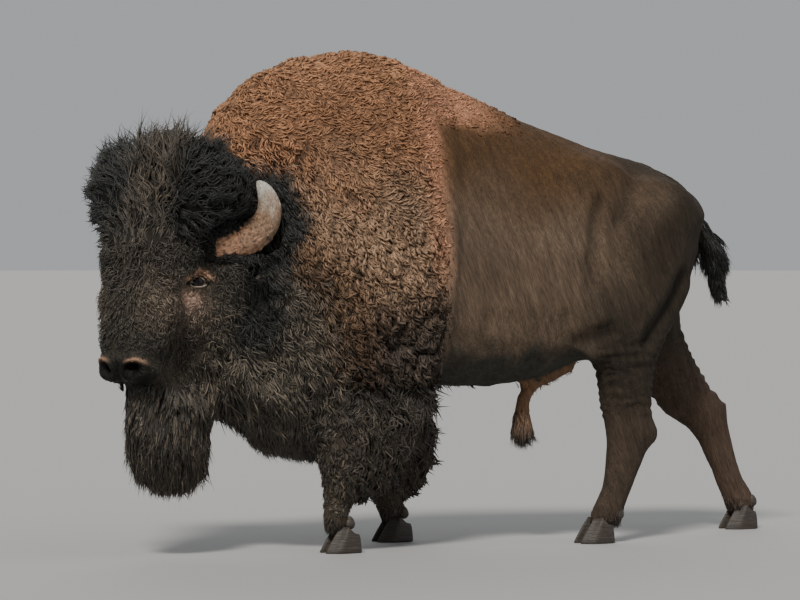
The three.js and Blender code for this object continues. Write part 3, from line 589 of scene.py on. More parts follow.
def markings(points, part):
    px, py, pz = points.T
    head = to_head(points)
    hx, hy, hz = np.abs(head[:, 0]), head[:, 1], head[:, 2]
    blotch = waves(points, 0.45, 41)
    fine = waves(points, 0.11, 42)
    out = mix(SHADES["rear"], SHADES["rear_top"], step(1.1, 1.45, pz + 0.05 * blotch))
    out = mix(out, SHADES["rump"], step(0.45, 0.80, py + 0.10 * blotch))
    out = mix(out, SHADES["thigh"], step(0.98, 0.72, pz - 0.10 * blotch) * step(0.30, 0.55, py))
    out = mix(out, SHADES["low_leg"], step(0.62, 0.40, pz))
    out = mix(out, SHADES["far_leg"], 0.7 * step(0.80, 0.55, pz) * step(0.75, 0.95, py) * (px < 0))
    # The belly is darker, partly its own colour and partly painted shade under the body.
    under = step(0.76, 0.66, pz + 0.03 * fine) * step(0.50, 0.42, py) * step(-0.2, -0.1, py)
    out = mix(out, SHADES["belly"], under)
    edge = cape_end(points)
    cape = mix(SHADES["cape_low"], SHADES["cape_mid"], step(0.72, 1.10, pz + 0.06 * blotch))
    cape = mix(cape, SHADES["orange"], step(1.12, 1.42, pz + 0.07 * blotch))
    # A paler band along the cape's rear edge is painted highlight.
    rim = step(-0.10, -0.02, py - edge) * step(0.86, 1.12, pz)
    cape = mix(cape, SHADES["edge_highlight"], 0.75 * rim)
    throat = throat_far(points)
    cape = mix(cape, SHADES["neck"], 0.8 * step(0.62, 0.42, throat))
    cape = mix(cape, SHADES["mane"], step(0.50, 0.28, throat + 0.02 * fine))
    cape = mix(cape, SHADES["black"], 0.8 * step(0.70, 0.56, pz + 0.03 * fine))
    strip = spine_strip(points)
    on_cape = np.maximum(step(edge + 0.045, edge - 0.025, py + 0.012 * waves(points, 0.03, 46)), strip)
    out = mix(out, cape, on_cape)
    low_front = step(0.66, 0.52, pz + 0.03 * fine) * step(-0.02, -0.12, py)
    out = mix(out, SHADES["black"], low_front)
    mane = step(0.74, 0.58, pz + 0.04 * fine) * step(-0.45, -0.60, py)
    out = mix(out, SHADES["mane"], mane)
    shaggy = step(0.185, 0.125, from_horn(head, 1, 5) + 0.012 * fine)
    behind_horn = np.linalg.norm(head * [1, 1, 0.75] - BEHIND_HORN, axis=1)
    shaggy = np.maximum(shaggy, step(0.15, 0.10, behind_horn))
    out = mix(out, SHADES["black"], shaggy * np.isin(part, ["neck", "hump"]))
    on_head = np.isin(part, ["face", "poll", "crown_hair", "beard"])
    face = mix(SHADES["face"], SHADES["face_brown"], 0.6 * np.exp(-(((hx - 0.14) / 0.06) ** 2
                                                                   + ((hz + 0.10) / 0.10) ** 2)))
    lobe = step(0.09, 0.17, hx + 0.03 * waves(points, 0.15, 91) + 0.06 * (head[:, 0] < 0))
    bonnet = mix(SHADES["brown_black"], SHADES["black"], lobe)
    face = mix(face, bonnet, step(0.03, 0.20, hz + 0.03 * fine))
    dark = 0.6 * step(-0.16, -0.26, hz) * step(0.03, 0.10, hy) * step(0.16, 0.11, hx)
    face = mix(face, SHADES["black"], dark)
    patch = np.exp(-(((hx - 0.165) / 0.03) ** 2 + ((hz + 0.064) / 0.028) ** 2 + ((hy - 0.03) / 0.040) ** 2))
    face = mix(face, SHADES["patch"], np.clip(1.1 * patch * (0.75 + 0.8 * waves(points, 0.016, 43)), 0, 1))
    face = mix(face, SHADES["beard"], step(-0.36, -0.42, hz))
    # A band under the lips, at the beard's root, is painted up to half as dark, as the mouth's shadow.
    face = face * (1 - 0.5 * np.exp(-(((hz + 0.425) / 0.035) ** 2)) * step(0.0, 0.06, hy))[:, None]
    jaw = step(-0.06, -0.14, hy) * step(0.05, -0.05, hz)
    face = mix(face, SHADES["mane"], 0.7 * jaw)
    out = np.where(on_head[:, None], face, out)
    sheath = mix(SHADES["sheath"], SHADES["belly"], step(0.47, 0.43, pz))
    out = np.where((part == "sheath")[:, None], sheath, out)
    tail_black = np.maximum(part == "tail_tuft", (part == "tail") * step(1.25, 1.20, pz))
    out = mix(out, SHADES["black"], tail_black)
    front_leg = step(0.66, 0.52, pz + 0.03 * fine) * step(-0.02, -0.12, py - 0.35 * (px < 0))
    out = mix(out, SHADES["brown_black"], np.maximum(front_leg, np.char.startswith(part, "foreleg_hair")))
    return out * (1 + 0.07 * blotch + 0.05 * fine)[:, None]


base = markings(co, part)
base = relax(base, edges, 0.5, 2)
local = to_head(co)
# The bare wet muzzle is near black in its own right, and the nostril hollows are painted the same near black
# as shade inside them.
base = mix(base, SHADES["muzzle"], np.clip(wet + hole, 0, 1))
rim_brown = np.exp(-(((ring - 1.35) / 0.3) ** 2)) * front * step(-0.325, -0.300, z) * step(0.112, 0.095, x)
base = mix(base, SHADES["lid"], 0.7 * rim_brown)
base = mix(base, SHADES["lid"], np.clip(upper_lid * (0.72 + 0.45 * waves(co, 0.014, 45)), 0, 1))
base = mix(base, SHADES["muzzle"], 0.9 * bare_rim)
base = mix(base, SHADES["rim"], 0.9 * lower_rim)
# The trunk's colour is painted up to 55% darker along the folds, as shade in the creases.
base = base * (1 - 0.55 * creased * trunk)[:, None]
near_lids = step(0.11, 0.05, np.linalg.norm(both_sides(local) - [0.165, 0.03, -0.02], axis=1))
base = base * np.exp(0.38 * near_lids * (1 - lower_rim) * waves(co, 0.008, 44))[:, None]
# A near-black band along the lips is the lips' own dark skin with painted shade in the mouth's gap.
gap = bump_along(z - lip_line - 0.002, 0.014) * step(0.03, 0.08, y) * (x < 0.12)
base = mix(base, SHADES["muzzle"], 0.95 * gap)
print("colours:", base.min().round(3), "to", base.max().round(3))

# %% [markdown]
# ## Materials
# Hair and hide are shaded by the colour kept at each point, broken up by noise that is stretched along the
# hair. A lock knows how far along and across itself each of its points is, so its fibres run from
# root to tip. Horn, hoof and eye have materials of their own.

# %% materials
def new_material(name):
    material = bpy.data.materials.new(name)
    material.use_nodes = True
    nodes = material.node_tree.nodes
    shader = nodes["Principled BSDF"]
    return material, nodes, material.node_tree.links, shader


def node(nodes, kind, **values):
    made = nodes.new(kind)
    for key, value in values.items():
        if key in made.inputs.keys():
            made.inputs[key].default_value = value
        else:
            setattr(made, key, value)
    return made


def noise_of(nodes, links, vector, size, scale, detail=4.0, rough=0.6):
    mapping = node(nodes, "ShaderNodeMapping")
    mapping.inputs["Scale"].default_value = size
    links.new(vector, mapping.inputs["Vector"])
    noise = node(nodes, "ShaderNodeTexNoise", Scale=scale, Detail=detail, Roughness=rough)
    links.new(mapping.outputs["Vector"], noise.inputs["Vector"])
    return noise


def tint(nodes, links, colour, factor, low, high):
    """Multiplies a colour by a grey between low and high, as the factor goes from 0.3 to 0.7."""
    spread = node(nodes, "ShaderNodeMapRange")
    for key, value in (("From Min", 0.3), ("From Max", 0.7), ("To Min", low), ("To Max", high)):
        spread.inputs[key].default_value = value
    links.new(factor, spread.inputs["Value"])
    scaled = node(nodes, "ShaderNodeVectorMath", operation="SCALE")
    links.new(colour, scaled.inputs[0])
    links.new(spread.outputs["Result"], scaled.inputs["Scale"])
    return scaled.outputs["Vector"]


def bump_of(nodes, links, shader, height, distance):
    bump = node(nodes, "ShaderNodeBump", Distance=distance, Strength=1.0)
    links.new(height, bump.inputs["Height"])
    links.new(bump.outputs["Normal"], shader.inputs["Normal"])


def coat_material(name, fibre, relief, rough=0.85, sheen=0.25, shine=0.25, spread=(0.62, 1.42)):
    material, nodes, links, shader = new_material(name)
    colour = node(nodes, "ShaderNodeAttribute", attribute_name="Coat").outputs["Color"]
    strand = node(nodes, "ShaderNodeAttribute", attribute_name="Strand").outputs["Vector"]
    fibres = noise_of(nodes, links, strand, (fibre, fibre * 0.09, 1.0), 1.0, 3.0, 0.55)
    links.new(tint(nodes, links, colour, fibres.outputs["Fac"], *spread), shader.inputs["Base Color"])
    bump_of(nodes, links, shader, fibres.outputs["Fac"], relief)
    shader.inputs["Roughness"].default_value = rough
    shader.inputs["Specular IOR Level"].default_value = shine
    shader.inputs["Sheen Weight"].default_value = sheen
    shader.inputs["Sheen Roughness"].default_value = 0.5
    return material


def skin_material():
    material, nodes, links, shader = new_material("hide")
    colour = node(nodes, "ShaderNodeAttribute", attribute_name="Coat")
    place = node(nodes, "ShaderNodeTexCoord").outputs["Object"]
    lean = node(nodes, "ShaderNodeVectorRotate", rotation_type="X_AXIS")
    lean.inputs["Angle"].default_value = math.radians(-20)
    links.new(place, lean.inputs["Vector"])
    hairs = noise_of(nodes, links, lean.outputs["Vector"], (260.0, 260.0, 26.0), 1.0, 4.0, 0.6)
    grain = noise_of(nodes, links, place, (1.0, 1.0, 1.0), 210.0, 4.0, 0.65)
    streak = noise_of(nodes, links, lean.outputs["Vector"], (55.0, 55.0, 5.0), 1.0, 3.0, 0.5)
    shade = tint(nodes, links, colour.outputs["Color"], hairs.outputs["Fac"], 0.58, 1.48)
    shade = tint(nodes, links, shade, streak.outputs["Fac"], 0.76, 1.28)
    parted = node(nodes, "ShaderNodeSeparateXYZ")
    links.new(node(nodes, "ShaderNodeAttribute", attribute_name="Felt").outputs["Vector"], parted.inputs[0])
    wool, upright = parted.outputs["X"], parted.outputs["Y"]
    crooked = noise_of(nodes, links, place, (1.0, 1.0, 1.0), 40.0, 2.0, 0.5)
    bent = node(nodes, "ShaderNodeVectorMath", operation="SCALE")
    links.new(crooked.outputs["Color"], bent.inputs[0])
    bent.inputs["Scale"].default_value = 0.028
    moved = node(nodes, "ShaderNodeVectorMath", operation="ADD")
    links.new(place, moved.inputs[0])
    links.new(bent.outputs["Vector"], moved.inputs[1])
    lying = noise_of(nodes, links, moved.outputs["Vector"], (50.0, 27.0, 88.0), 1.0, 1.0, 0.4)
    standing = noise_of(nodes, links, moved.outputs["Vector"], (50.0, 80.0, 27.0), 1.0, 1.0, 0.4)
    ridges = node(nodes, "ShaderNodeMix", data_type="FLOAT")
    links.new(upright, ridges.inputs[0])
    links.new(lying.outputs["Fac"], ridges.inputs[2])
    links.new(standing.outputs["Fac"], ridges.inputs[3])
    centred = node(nodes, "ShaderNodeMath", operation="SUBTRACT")
    links.new(ridges.outputs[0], centred.inputs[0])
    centred.inputs[1].default_value = 0.5
    height = node(nodes, "ShaderNodeMath", operation="ABSOLUTE")
    links.new(centred.outputs["Value"], height.inputs[0])
    # In the wool the hide's colour is multiplied by 0.42 to 1 along crooked noise lines, as painted shade in
    # the crevices between curls; the same value drives the curls' bump.
    swell = node(nodes, "ShaderNodeMapRange", interpolation_type="SMOOTHSTEP")
    for key, value in (("From Min", 0.0), ("From Max", 0.055), ("To Min", 0.42), ("To Max", 1.0)):
        swell.inputs[key].default_value = value
    links.new(height.outputs["Value"], swell.inputs["Value"])
    thick = node(nodes, "ShaderNodeMix", data_type="FLOAT")
    thick.inputs[2].default_value = 1.0
    links.new(wool, thick.inputs[0])
    links.new(swell.outputs["Result"], thick.inputs[3])
    crevice_shaded = node(nodes, "ShaderNodeVectorMath", operation="SCALE")
    links.new(shade, crevice_shaded.inputs[0])
    links.new(thick.outputs[0], crevice_shaded.inputs["Scale"])
    links.new(crevice_shaded.outputs["Vector"], shader.inputs["Base Color"])
    pick = node(nodes, "ShaderNodeMix", data_type="FLOAT")
    bare = node(nodes, "ShaderNodeAttribute", attribute_name="Bare").outputs["Fac"]
    links.new(bare, pick.inputs[0])
    links.new(hairs.outputs["Fac"], pick.inputs[2])
    links.new(grain.outputs["Fac"], pick.inputs[3])
    curls = node(nodes, "ShaderNodeBump", Distance=0.012, Strength=1.0)
    links.new(thick.outputs[0], curls.inputs["Height"])
    small = node(nodes, "ShaderNodeBump", Distance=0.004, Strength=1.0)
    links.new(pick.outputs[0], small.inputs["Height"])
    links.new(curls.outputs["Normal"], small.inputs["Normal"])
    links.new(small.outputs["Normal"], shader.inputs["Normal"])
    rough = node(nodes, "ShaderNodeMapRange")
    rough.inputs["To Min"].default_value = 0.80
    rough.inputs["To Max"].default_value = 0.46
    links.new(bare, rough.inputs["Value"])
    links.new(rough.outputs["Result"], shader.inputs["Roughness"])
    shader.inputs["Specular IOR Level"].default_value = 0.20
    return material


HIDE = skin_material()
WOOL = coat_material("wool", 520.0, 0.0035, sheen=0.0, shine=0.08, spread=(0.55, 1.5))
HAIR = coat_material("long_hair", 620.0, 0.0025, rough=0.50, sheen=0.1, shine=0.32, spread=(0.5, 1.7))
SHORT = coat_material("short_hair", 700.0, 0.0015, rough=0.60, sheen=0.1, shine=0.28, spread=(0.5, 1.7))

# %% [markdown]
# ## The skin as a piece
# It gets its colours, the mask of its bare places, and an unwrap of its own shape. It stands for every
# node of flesh and of hanging hair.

# %% skin piece
def set_colours(mesh, values):
    layer = mesh.color_attributes.new(name="Coat", type="FLOAT_COLOR", domain="POINT")
    rgba = np.ones((len(values), 4), np.float32)
    rgba[:, :3] = np.clip(values, 0.002, 0.9)
    layer.data.foreach_set("color", rgba.ravel())


def finish_piece(piece, material, *replaced):
    piece.data.materials.clear()
    piece.data.materials.append(material)
    piece.data.shade_smooth()
    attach(piece, "root")
    if replaced:
        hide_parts(*replaced)


def keep_vector(mesh, name, values):
    kept = mesh.attributes.new(name, "FLOAT_VECTOR", "POINT")
    kept.data.foreach_set("vector", values.astype(np.float32).ravel())


def upright(points):
    """Which way the wool's ridges run: 0 where they lie level on the back of the hump, 1 where they stand."""
    lean = (1.42 - points[:, 2]) / 0.30 + (-0.42 - points[:, 1]) / 0.45 + 0.75 * waves(points, 0.30, 75)
    return step(-0.55, 0.45, lean)


skin = new_object("skin", skin_mesh)
# The skin under the coat is painted darker as shade: by 62% where the coat over it is deep, and by 28% under
# the wool.
shaded = step(0.015, 0.024, depth) * (1 - np.clip(wet + hole + bare_rim, 0, 1))
wool_share = np.isin(part, ["hump", "neck"]) * np.maximum(co[:, 1] < cape_end(co), spine_strip(co))
wool_share = relax(wool_share, edges, 0.5, 2) * step(0.34, 0.46, throat_far(co))
set_colours(skin_mesh, base * ((1 - 0.62 * shaded) * (1 - 0.28 * wool_share))[:, None])
bare = skin_mesh.attributes.new("Bare", "FLOAT", "POINT")
bare.data.foreach_set("value", np.clip(wet + hole + bare_rim, 0, 1).astype(np.float32))
keep_vector(skin_mesh, "Felt", np.stack([wool_share, upright(co), wool_share * 0], 1))
skin_mesh.uv_layers.new(name="OFBake")
bpy.context.view_layer.objects.active = skin
skin.select_set(True)
bpy.ops.object.mode_set(mode="EDIT")
bpy.ops.mesh.select_all(action="SELECT")
bpy.ops.uv.smart_project(angle_limit=math.radians(70), island_margin=0.0015)
bpy.ops.object.mode_set(mode="OBJECT")
skin.select_set(False)
finish_piece(skin, HIDE, *FLESH)
skin_uv = np.zeros(len(skin_mesh.loops) * 2, np.float32)
skin_mesh.uv_layers["OFBake"].data.foreach_get("uv", skin_uv)
skin_uv = skin_uv.reshape(-1, 3, 2)

# %% [markdown]
# ## The lie of the coat
# Hair runs from nose to tail and from back to belly. On the rump and the back it lies backward, on the
# flanks, shoulders and legs it falls, and on the head it parts high on the forehead: up over the crown, and
# down and out over the face. The field below gives that direction at every point of the skin.

# %% lie
normal = normals_of(co, tris)
normal = unit(relax(normal, edges, 0.5, 2))
local = to_head(co)
hx, hy, hz = local.T
on_head = np.isin(part, ["face", "poll", "crown_hair"]).astype(float)
on_head = relax(on_head, edges, 0.5, 6)
back = np.tile([0.0, 0.42, -1.0], (len(co), 1))
topside = step(0.55, 0.95, normal[:, 2])
back = back * (1 - topside[:, None]) + np.array([0.0, 1.0, -0.30]) * topside[:, None]
back[:, 1] += 0.5 * step(0.3, 0.9, co[:, 1]) * step(0.9, 1.1, co[:, 2])
belly = step(-0.3, -0.8, normal[:, 2])
back = back * (1 - belly[:, None]) + np.array([0.0, 1.0, -0.5]) * belly[:, None]
on_leg = step(0.66, 0.52, co[:, 2])
back[:, 1] *= 1 - 0.8 * on_leg
side = np.sign(hx) * step(0.0, 0.10, np.abs(hx))
down_face = side[:, None] * HEAD_X * 0.75 - HEAD_Z * 0.9
up_crown = side[:, None] * HEAD_X * 0.6 + HEAD_Z * 1.0 - HEAD_Y * 0.25
rise = step(0.20, 0.30, hz)[:, None]
head_flow = unit(down_face) * (1 - rise) + unit(up_crown) * rise
flow = unit(back) * (1 - on_head[:, None]) + head_flow * on_head[:, None]
flow = flow - normal * (flow * normal).sum(1)[:, None]
flow = unit(relax(unit(flow), edges, 0.5, 6))
room = BVHTree.FromPolygons(outer.tolist(), quads.tolist())
HIDE_GROUND = {
    "co": co, "tris": tris, "area": areas_of(co, tris), "normal": normal, "flow": flow, "base": base,
    "uv": skin_uv,
}
print("skin area:", HIDE_GROUND["area"].sum().round(2), "m2")

# %% [markdown]
# ## How a lock is made
# A lock is a three-sided spike with a few rings and a point. It starts just under the skin, rises at an
# angle, bends over to lie along the coat, and may wave or curl on its way. All the locks of one piece are
# computed together: each array below holds one row per lock.

# %% locks
def scatter(ground, count, density, seed):
    """Picks places on a surface: triangle numbers and their corner shares."""
    rng = np.random.default_rng(seed)
    chance = ground["area"] * density[ground["tris"]].mean(1)
    chosen = rng.choice(len(chance), count, p=chance / chance.sum())
    r1, r2 = np.sqrt(rng.random(count)), rng.random(count)
    return chosen, np.stack([1 - r1, r1 * (1 - r2), r1 * r2], 1), rng


def make_locks(name, count, density, material, seed, length=0.04, width=0.008, lift=22.0, fall=0.0, curl=0.0,
               waves_per_lock=1.0, swirl=20.0, swirl_size=0.10, rings=3, thick=0.55, root_shade=0.45,
               light_tip=1.2, vary=0.22, flow_override=None, stay=(0.8, 1.35), bend=0.8, ragged=0.25,
               arch=False, clump=None, carve=None, least=0.35, side_shade=0.55, deep=0.004,
               ground=HIDE_GROUND):
    chosen, share, rng = scatter(ground, count, density, seed)

    def at_places(values):
        return np.einsum("nkc,nk->nc", values[ground["tris"][chosen]], share)

    root = at_places(ground["co"])
    n = unit(at_places(ground["normal"]))
    colour = at_places(ground["base"])
    uv = np.einsum("nkc,nk->nc", ground["uv"][chosen], share)
    d = at_places(ground["flow"])
    if flow_override is not None:
        d = flow_override(root, d, n)
    d = unit(d - n * (d * n).sum(1)[:, None])
    s = np.cross(n, d)
    angle = np.radians(swirl) * (waves(root, swirl_size, seed + 1) + 0.35 * rng.normal(size=count))
    cos, sin = np.cos(angle)[:, None], np.sin(angle)[:, None]
    d, s = d * cos + s * sin, s * cos - d * sin
    size = rng.uniform(1 - ragged, 1 + ragged, count)
    long = (length(root) if callable(length) else length) * size
    wide = (width(root) if callable(width) else width) * rng.uniform(0.7, 1.3, count)
    start = np.radians((lift(root) if callable(lift) else lift) * rng.uniform(0.6, 1.3, count))
    reach = unit(d * np.cos(start)[:, None] + n * np.sin(start)[:, None] - UP * fall * 0.5)
    free = np.array([
        hit if hit is not None else 0.0
        for hit in (room.ray_cast(Vector(p), Vector(q), 0.6)[3] for p, q in zip(root + n * 0.001, reach))
    ])
    long = np.minimum(long, np.maximum(free * rng.uniform(*stay, count) + 0.006, least * long))
    phase = rng.uniform(0, 2 * math.pi, count)
    points, widths, steps = [], [], np.linspace(0, 1, rings + 1)
    spine = root - n * deep
    last = 0.0
    for t in steps:
        a = start * (1 - bend * t)
        way = d * np.cos(a)[:, None] + n * np.sin(a)[:, None] - UP * (fall * t)
        spine = spine + unit(way) * (long * (t - last))[:, None]
        last = t
        twist = phase + 2 * math.pi * waves_per_lock * t
        off = (np.sin(twist) - np.sin(phase))[:, None] * s
        off = off + 0.6 * (np.cos(twist) - np.cos(phase))[:, None] * n
        points.append(spine + off * (curl * long * t)[:, None])
        body = 0.75 + 1.1 * t - 1.2 * t * t if arch else 0.55 + 1.6 * t - 2.15 * t * t
        widths.append(wide * body if t < 1 else wide * 0)
    if clump is not None:
        chief = rng.choice(count, max(1, count // clump[0]), replace=False)
        tree = KDTree(len(chief))
        for k, i in enumerate(chief):
            tree.insert(root[i], k)
        tree.balance()
        follow = chief[[tree.find(p)[1] for p in root]]
        for t, p in zip(steps[1:], points):
            p += (p[follow] - p) * (clump[1] * t)
    count_per = 3 * rings + 1
    out = np.zeros((count, count_per, 3))
    strand = np.zeros((count, count_per, 3))
    along = np.zeros(count_per)
    ridge_light_and_shade = np.ones(count_per)
    patch = np.zeros((count_per, 2))
    for k in range(rings):
        tangent = unit(points[k + 1] - points[max(k - 1, 0)])
        across = unit(np.cross(tangent, n))
        top = np.cross(across, tangent)
        for c, turn in enumerate((math.radians(-20), math.radians(90), math.radians(200))):
            i = 3 * k + c
            sideways = math.cos(turn) * widths[k] / 2
            upward = math.sin(turn) * thick * widths[k] / 2
            out[:, i] = points[k] + sideways[:, None] * across + upward[:, None] * top
            strand[:, i] = np.stack([sideways, long * steps[k], phase * 9], 1)
            along[i] = steps[k]
            # Each ring's top point gets a painted highlight and its two side points get painted shade, so a
            # lock shows a lit ridge.
            ridge_light_and_shade[i] = 1.2 if c == 1 else side_shade
            patch[i] = (0.0012 * math.cos(turn), 0.0024 * steps[k] - 0.0012)
    out[:, -1] = points[rings]
    strand[:, -1] = np.stack([widths[0] * 0, long, phase * 9], 1)
    along[-1] = 1.0
    patch[-1] = (0.0, 0.0012)
    cut = np.zeros((count, count_per))
    if carve is not None:
        cut = carve(out.reshape(-1, 3)).reshape(count, count_per)
        out -= n[:, None] * (0.009 * cut * np.minimum(along * 3, 1))[..., None]
    faces = []
    for k in range(rings - 1):
        for c in range(3):
            a, b = 3 * k + c, 3 * k + (c + 1) % 3
            faces += [(a, b, b + 3), (a, b + 3, a + 3)]
    last_ring = 3 * (rings - 1)
    faces += [(last_ring + c, last_ring + (c + 1) % 3, count_per - 1) for c in range(3)]
    faces = np.array(faces)
    index = (faces[None] + (np.arange(count) * count_per)[:, None, None]).reshape(-1, 3)
    mesh = bpy.data.meshes.new(name)
    mesh.vertices.add(count * count_per)
    set_points(mesh, out)
    mesh.loops.add(index.size)
    mesh.loops.foreach_set("vertex_index", index.astype(np.int32).ravel())
    mesh.polygons.add(len(index))
    mesh.polygons.foreach_set("loop_start", np.arange(0, index.size, 3, dtype=np.int32))
    mesh.update(calc_edges=True)
    layer = mesh.uv_layers.new(name="OFBake")
    place = (uv[:, None] + patch[None]).reshape(-1, 2)[index.ravel()]
    layer.data.foreach_set("uv", place.astype(np.float32).ravel())
    # Each lock is painted darker towards its root, as shade deep in the coat, and lighter towards its tip. An
    # arched wool lock is instead lit in its middle as painted highlight and painted with shade at both ends,
    # where it is buried.
    rise = np.sin(math.pi * np.clip(along * 1.15, 0, 1)) ** 0.7 if arch else along ** 0.8
    shade = (root_shade + (light_tip - root_shade) * rise) * ridge_light_and_shade
    tone = np.exp(vary * rng.normal(size=count))
    # Where the wool parts, the locks are pushed in and painted 68% darker as shade in its crevices. The
    # darker a point is painted, the more its colour is turned to grey.
    light = (shade * tone[:, None] * (1 - 0.68 * cut))[..., None]
    grey = 0.5 * np.clip(1 - light, 0, 1)
    plain = colour.mean(1)[:, None, None]
    set_colours(mesh, ((colour[:, None] * (1 - grey) + plain * grey) * light).reshape(-1, 3))
    keep_vector(mesh, "Strand", strand)
    piece = new_object(name, mesh)
    finish_piece(piece, material)
    totals[name] = len(index)
    print(name, count, "locks", len(index), "triangles, x up to", out[..., 0].max().round(3))
    return piece


totals = {}


def where(*names, rounds=4):
    """A soft density that is 1 on the named parts of the skin."""
    hit = np.zeros(len(co), bool)
    for name in names:
        hit |= np.char.startswith(part, name)
    return np.clip(relax(hit.astype(float), edges, 0.6, rounds), 0, 1)

# %% [markdown]
# ## Eyeballs
# Each eye is a dark wet ball that bulges a little in front. The iris is deep brown with a long level pupil,
# and some white shows at the ball's corner. The pale line along the lower lid is painted on the skin.

# %% eyeballs
def add_piece(name, bm):
    mesh = bpy.data.meshes.new(name)
    bm.to_mesh(mesh)
    bm.free()
    return new_object(name, mesh)


def put_on_head(piece, local_points, side):
    """Moves a piece's points, given in the left half of the head's frame, to their own side of the head."""
    placed = in_head(*(local_points * [side, 1, 1]).T[:, :, None])
    set_points(piece.data, placed)
    return placed


eye_material, nodes, links, shader = new_material("eye")
colour = node(nodes, "ShaderNodeAttribute", attribute_name="Coat").outputs["Color"]
place = node(nodes, "ShaderNodeTexCoord").outputs["Object"]
speck = noise_of(nodes, links, place, (1, 1, 1), 900.0)
links.new(tint(nodes, links, colour, speck.outputs["Fac"], 0.8, 1.2), shader.inputs["Base Color"])
shader.inputs["Roughness"].default_value = 0.10
shader.inputs["Specular IOR Level"].default_value = 0.30
for side, word in BOTH:
    ball = bmesh.new()
    bmesh.ops.create_uvsphere(ball, u_segments=48, v_segments=32, radius=EYE_RADIUS)
    eye = add_piece("eyeball_" + word, ball)
    flat = points_of(eye.data)
    shown = flat @ np.stack([eye_along, eye_up, eye_out])
    shown *= 1 + 0.035 * step(0.80, 0.97, shown @ eye_out / EYE_RADIUS)[:, None]
    a, b, c = flat.T / EYE_RADIUS
    iris = step(0.66, 0.58, np.hypot(a - 0.1, b + 0.06)) * (c > 0)
    pupil = step(0.62, 0.42, np.hypot((a - 0.1) * 0.55, b * 1.3)) * (c > 0) * 0.9
    shade = mix(linear("b5a594"), linear("26170d"), iris)
    set_colours(eye.data, mix(shade, linear("0a0604"), pupil))
    put_on_head(eye, EYE_AT + shown, side)
    finish_piece(eye, eye_material, "eye_" + word)

# %% [markdown]
# ## Horns
# Each horn leaves the side of the skull, runs out and back, then turns up and in to a point. Its route is
# listed point by point: it ends within a centimetre of the solid's tip, but it bends more tightly and doesn't
# follow the solid closely. It is a sweep with many rings, rough and flaking at the base, smoother and paler
# towards the tip. The rings sit closer at the base, as they do on an old bull.

# %% horns
def spline(points, count):
    """A smooth curve through the points, by Catmull and Rom, with evenly spaced steps."""
    p = np.vstack([2 * points[0] - points[1], points, 2 * points[-1] - points[-2]])
    out = []
    for k in range(len(points) - 1):
        a, b, c, d = p[k:k + 4]
        t = np.linspace(0, 1, 60, endpoint=False)[:, None]
        square = (2 * a - 5 * b + 4 * c - d) * t ** 2
        cube = (3 * b - a - 3 * c + d) * t ** 3
        out.append(0.5 * (2 * b + (c - a) * t + square + cube))
    out = np.vstack(out + [points[-1:]])
    far = np.concatenate([[0], np.cumsum(np.linalg.norm(np.diff(out, axis=0), axis=1))])
    even = np.linspace(0, far[-1], count)
    return np.stack([np.interp(even, far, out[:, k]) for k in range(3)], 1)


def join_rings(bm, rings):
    """Joins each ring of points with the next and closes both ends."""
    for lower, upper in zip(rings[:-1], rings[1:]):
        for j in range(len(lower)):
            k = (j + 1) % len(lower)
            bm.faces.new([lower[j], lower[k], upper[k], upper[j]])
    bm.faces.new(rings[0][::-1])
    bm.faces.new(rings[-1])


def sweep(name, route, radius, sides, rings, flat=1.0, up=(0, 1, 0), dent=None):
    """A closed tube along a route in the head's frame; returns the piece and each point's place on it."""
    line = spline(route, rings)
    tangent = unit(np.gradient(line, axis=0))
    across = unit(np.cross(tangent, np.array(up, float)))
    top = np.cross(across, tangent)
    angle = np.arange(sides) * 2 * math.pi / sides
    share = np.linspace(0, 1, rings)
    r = radius(share[:, None], angle[None])
    x = r * np.cos(angle)
    y = r * np.sin(angle) * flat
    if dent is not None:
        y = y + dent(share[:, None], angle[None])
    grid = line[:, None] + x[..., None] * across[:, None] + y[..., None] * top[:, None]
    verts = grid.reshape(-1, 3)
    bm = bmesh.new()
    made = [bm.verts.new(v) for v in verts]
    join_rings(bm, [made[i * sides:(i + 1) * sides] for i in range(rings)])
    bmesh.ops.recalc_face_normals(bm, faces=bm.faces)
    piece = add_piece(name, bm)
    return piece, np.repeat(share, sides), np.tile(angle, rings), verts


horn_material, nodes, links, shader = new_material("horn")
colour = node(nodes, "ShaderNodeAttribute", attribute_name="Coat").outputs["Color"]
strand = node(nodes, "ShaderNodeAttribute", attribute_name="Strand").outputs["Vector"]
fibre = noise_of(nodes, links, strand, (3.2, 26.0, 1.0), 1.0, 5.0, 0.7)
flake = noise_of(nodes, links, strand, (9.0, 30.0, 9.0), 1.0, 4.0, 0.7)
shade = tint(nodes, links, colour, fibre.outputs["Fac"], 0.6, 1.35)
links.new(tint(nodes, links, shade, flake.outputs["Fac"], 0.45, 1.45), shader.inputs["Base Color"])
bump_of(nodes, links, shader, flake.outputs["Fac"], 0.011)
shader.inputs["Roughness"].default_value = 0.52


def horn_radius(t, a):
    plain = 0.059 * (1 - t ** 3) ** 0.62 + 0.002
    rings = 0.0018 * np.sin(2 * math.pi * 15 * t ** 0.8) * (1 - t) ** 1.5
    place = np.stack(np.broadcast_arrays(0.10 * np.cos(a), 0.10 * np.sin(a), 0.9 * t), -1)
    flakes = waves(place.reshape(-1, 3), 0.045, 62, 14).reshape(place.shape[:2])
    under = 0.5 + 0.5 * np.cos(a + 1.2)
    rough = 0.0045 * np.maximum(flakes, 0) ** 1.5 * step(0.72, 0.45, t) * (0.4 + under)
    return plain + rings + rough


